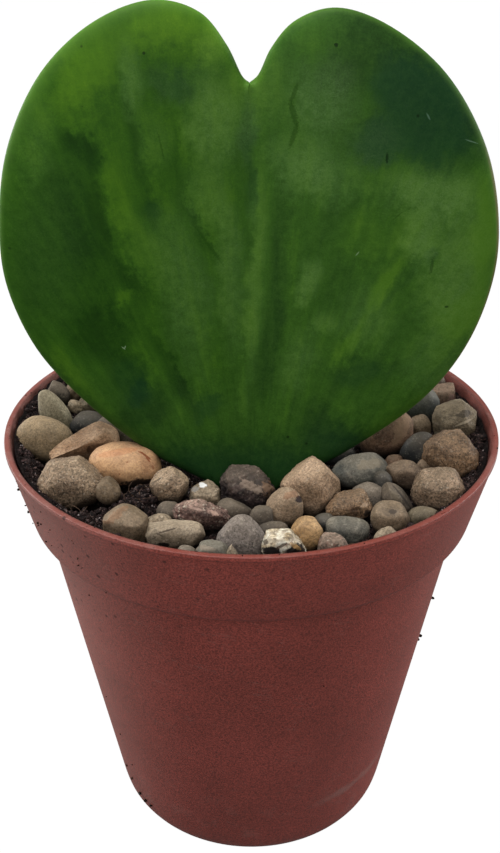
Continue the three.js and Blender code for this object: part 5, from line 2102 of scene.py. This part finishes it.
    def strew(self, top: bpy.types.Object) -> list[bpy.types.Object]:
        """Strews crumbs, grit, fibres and white bits over the soil's top, which is then removed.

        Args:
            top: the soil's upper surface.

        Returns:
            The pieces.
        """
        crumbs, fibres = self.crumb_tree(), self.fibre_tree()
        per_square_mm = 1e6
        peat = SoilFinish("peat_crumb", "090707", "382927", 0.65)
        bark = SoilFinish("bark", "1c1210", "66504a", 0.45, 0.4)
        grit = SoilFinish("grit", "6e605e", "c8bcba", 0.5, 0.4)
        fibre = SoilFinish("fibre", "3a2a20", "6a5444", 0.7)
        kinds = (
            ("soil_crumbs", crumbs, peat, 3.6, 0.25, 0.95, {"flatness": 0.9}),
            ("bark_crumbs", crumbs, bark, 3.6, 0.14, 0.52, {"flatness": 0.7}),
            ("pale_grit", crumbs, grit, 1.2, 0.08, 0.27, {"flatness": 0.9}),
            ("peat_fibres", fibres, fibre, 0.2, 0.9, 3.2, {"thickness": 0.03 * MM}),
        )
        pieces = []
        for seed, (name, tree, finish, density, small, large, more) in enumerate(kinds):
            source = top.copy()
            source.data = top.data.copy()
            for vertex, mark in zip(source.data.vertices, source.data.attributes["bare"].data):
                if vertex.co.xy.length > (self.edge - max(0.1, 0.35 * large)) * MM:
                    mark.value = 0.0
            bpy.context.scene.collection.objects.link(source)
            made = tree.run(
                source, name, density=density * per_square_mm, smallest=small * MM, largest=large * MM,
                seed=seed * 17 + 3, finish=finish.material(), **more,
            )
            pieces.append(settle(made, "soil"))
        bpy.data.objects.remove(top)
        return pieces


# ---------------------------------------------------------------- studio
@dataclass
class Studio:
    """A plain pale floor, soft light from above and the camera."""

    distance: float = 150.0
    tilt: float = SLOPE
    aim: Vec = (0.0, 0.0, 55.1)
    sensor: float = 36.0
    lens: float = 51.41
    shift: Place = (-0.0016, -0.0083)
    dome: float = 2500.0
    floor_reach: float = 3000.0
    floor_level: float = -0.02
    ambient: float = 0.18
    centre: Vec = (0.0, 0.0, 60.0)

    def camera(self) -> None:
        """Makes the camera, which looks down at the rim's middle."""
        data = bpy.data.cameras.new("camera")
        data.sensor_width, data.lens = self.sensor, self.lens
        data.shift_x, data.shift_y = self.shift
        data.clip_start, data.clip_end = 0.005, 10.0
        camera = bpy.data.objects.new("camera", data)
        bpy.context.scene.collection.objects.link(camera)
        back = Vector((0.0, -math.cos(self.tilt), math.sin(self.tilt)))
        camera.location = (Vector(self.aim) + back * self.distance) * MM
        camera.rotation_euler = (-back).to_track_quat("-Z", "Y").to_euler()
        bpy.context.scene.camera = camera

    def floor(self) -> None:
        """Makes the floor, and a dome round it of the same white that lets all light through."""
        coat = Coat("floor", roughness=1.0, specular_ior_level=0.0, emission_strength=1.0)
        coat.set(base_color=paint("202020"), emission_color=paint("ffffff"))
        dome = make_object("backdrop", *ball_of(3, self.dome))
        dome.data.materials.append(coat.material)
        dome.visible_diffuse = dome.visible_glossy = dome.visible_transmission = dome.visible_shadow = False
        corners = np.array([(x, y, 0.0) for x, y in ((-1, -1), (1, -1), (1, 1), (-1, 1))]) * self.floor_reach
        corners[:, 2] = self.floor_level
        floor = make_object("floor", corners, [(0, 1, 2, 3)], smooth=False)
        floor.data.materials.append(coat.material)
        floor.visible_diffuse = floor.visible_glossy = False

    def lamp(self, name: str, place: Vec, size: float, power: float) -> None:
        """A square soft white light that faces the plant's middle.

        Args:
            name: its name.
            place: where it hangs, in millimetres.
            size: the length of its side, in millimetres.
            power: its power in watts.
        """
        data = bpy.data.lights.new(name, "AREA")
        data.shape, data.size, data.energy = "SQUARE", size * MM, power
        lamp = bpy.data.objects.new(name, data)
        bpy.context.scene.collection.objects.link(lamp)
        lamp.location = Vector(place) * MM
        lamp.rotation_euler = (Vector(self.centre) - Vector(place)).to_track_quat("-Z", "Y").to_euler()

    def build(self) -> None:
        """Sets up the whole studio."""
        scene = bpy.context.scene
        scene.view_settings.view_transform = "Standard"
        world = bpy.data.worlds.new("studio")
        world.use_nodes = True
        world.node_tree.nodes["Background"].inputs[0].default_value = (1.0, 1.0, 1.0, 1.0)
        world.node_tree.nodes["Background"].inputs[1].default_value = self.ambient
        scene.world = world
        self.camera()
        self.floor()
        self.lamp("overhead", (-90.0, -20.0, 520.0), 320.0, 2.5)
        self.lamp("front", (-60.0, -420.0, 330.0), 260.0, 0.75)
        self.lamp("left", (-420.0, 190.0, 120.0), 300.0, 1.9)
        self.lamp("right", (430.0, 150.0, 120.0), 300.0, 1.8)


def main() -> None:
    """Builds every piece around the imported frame."""
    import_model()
    Studio().build()
    pot = Pot()
    pot.build()
    StuckPeat(pot).build()
    Leaf().build()
    stones = Dressing().build() + BackRows().build()
    Soil().build(stones)
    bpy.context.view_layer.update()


if __name__ == "__main__":
    logging.basicConfig(level=logging.INFO, format="%(name)s %(message)s")
    main()
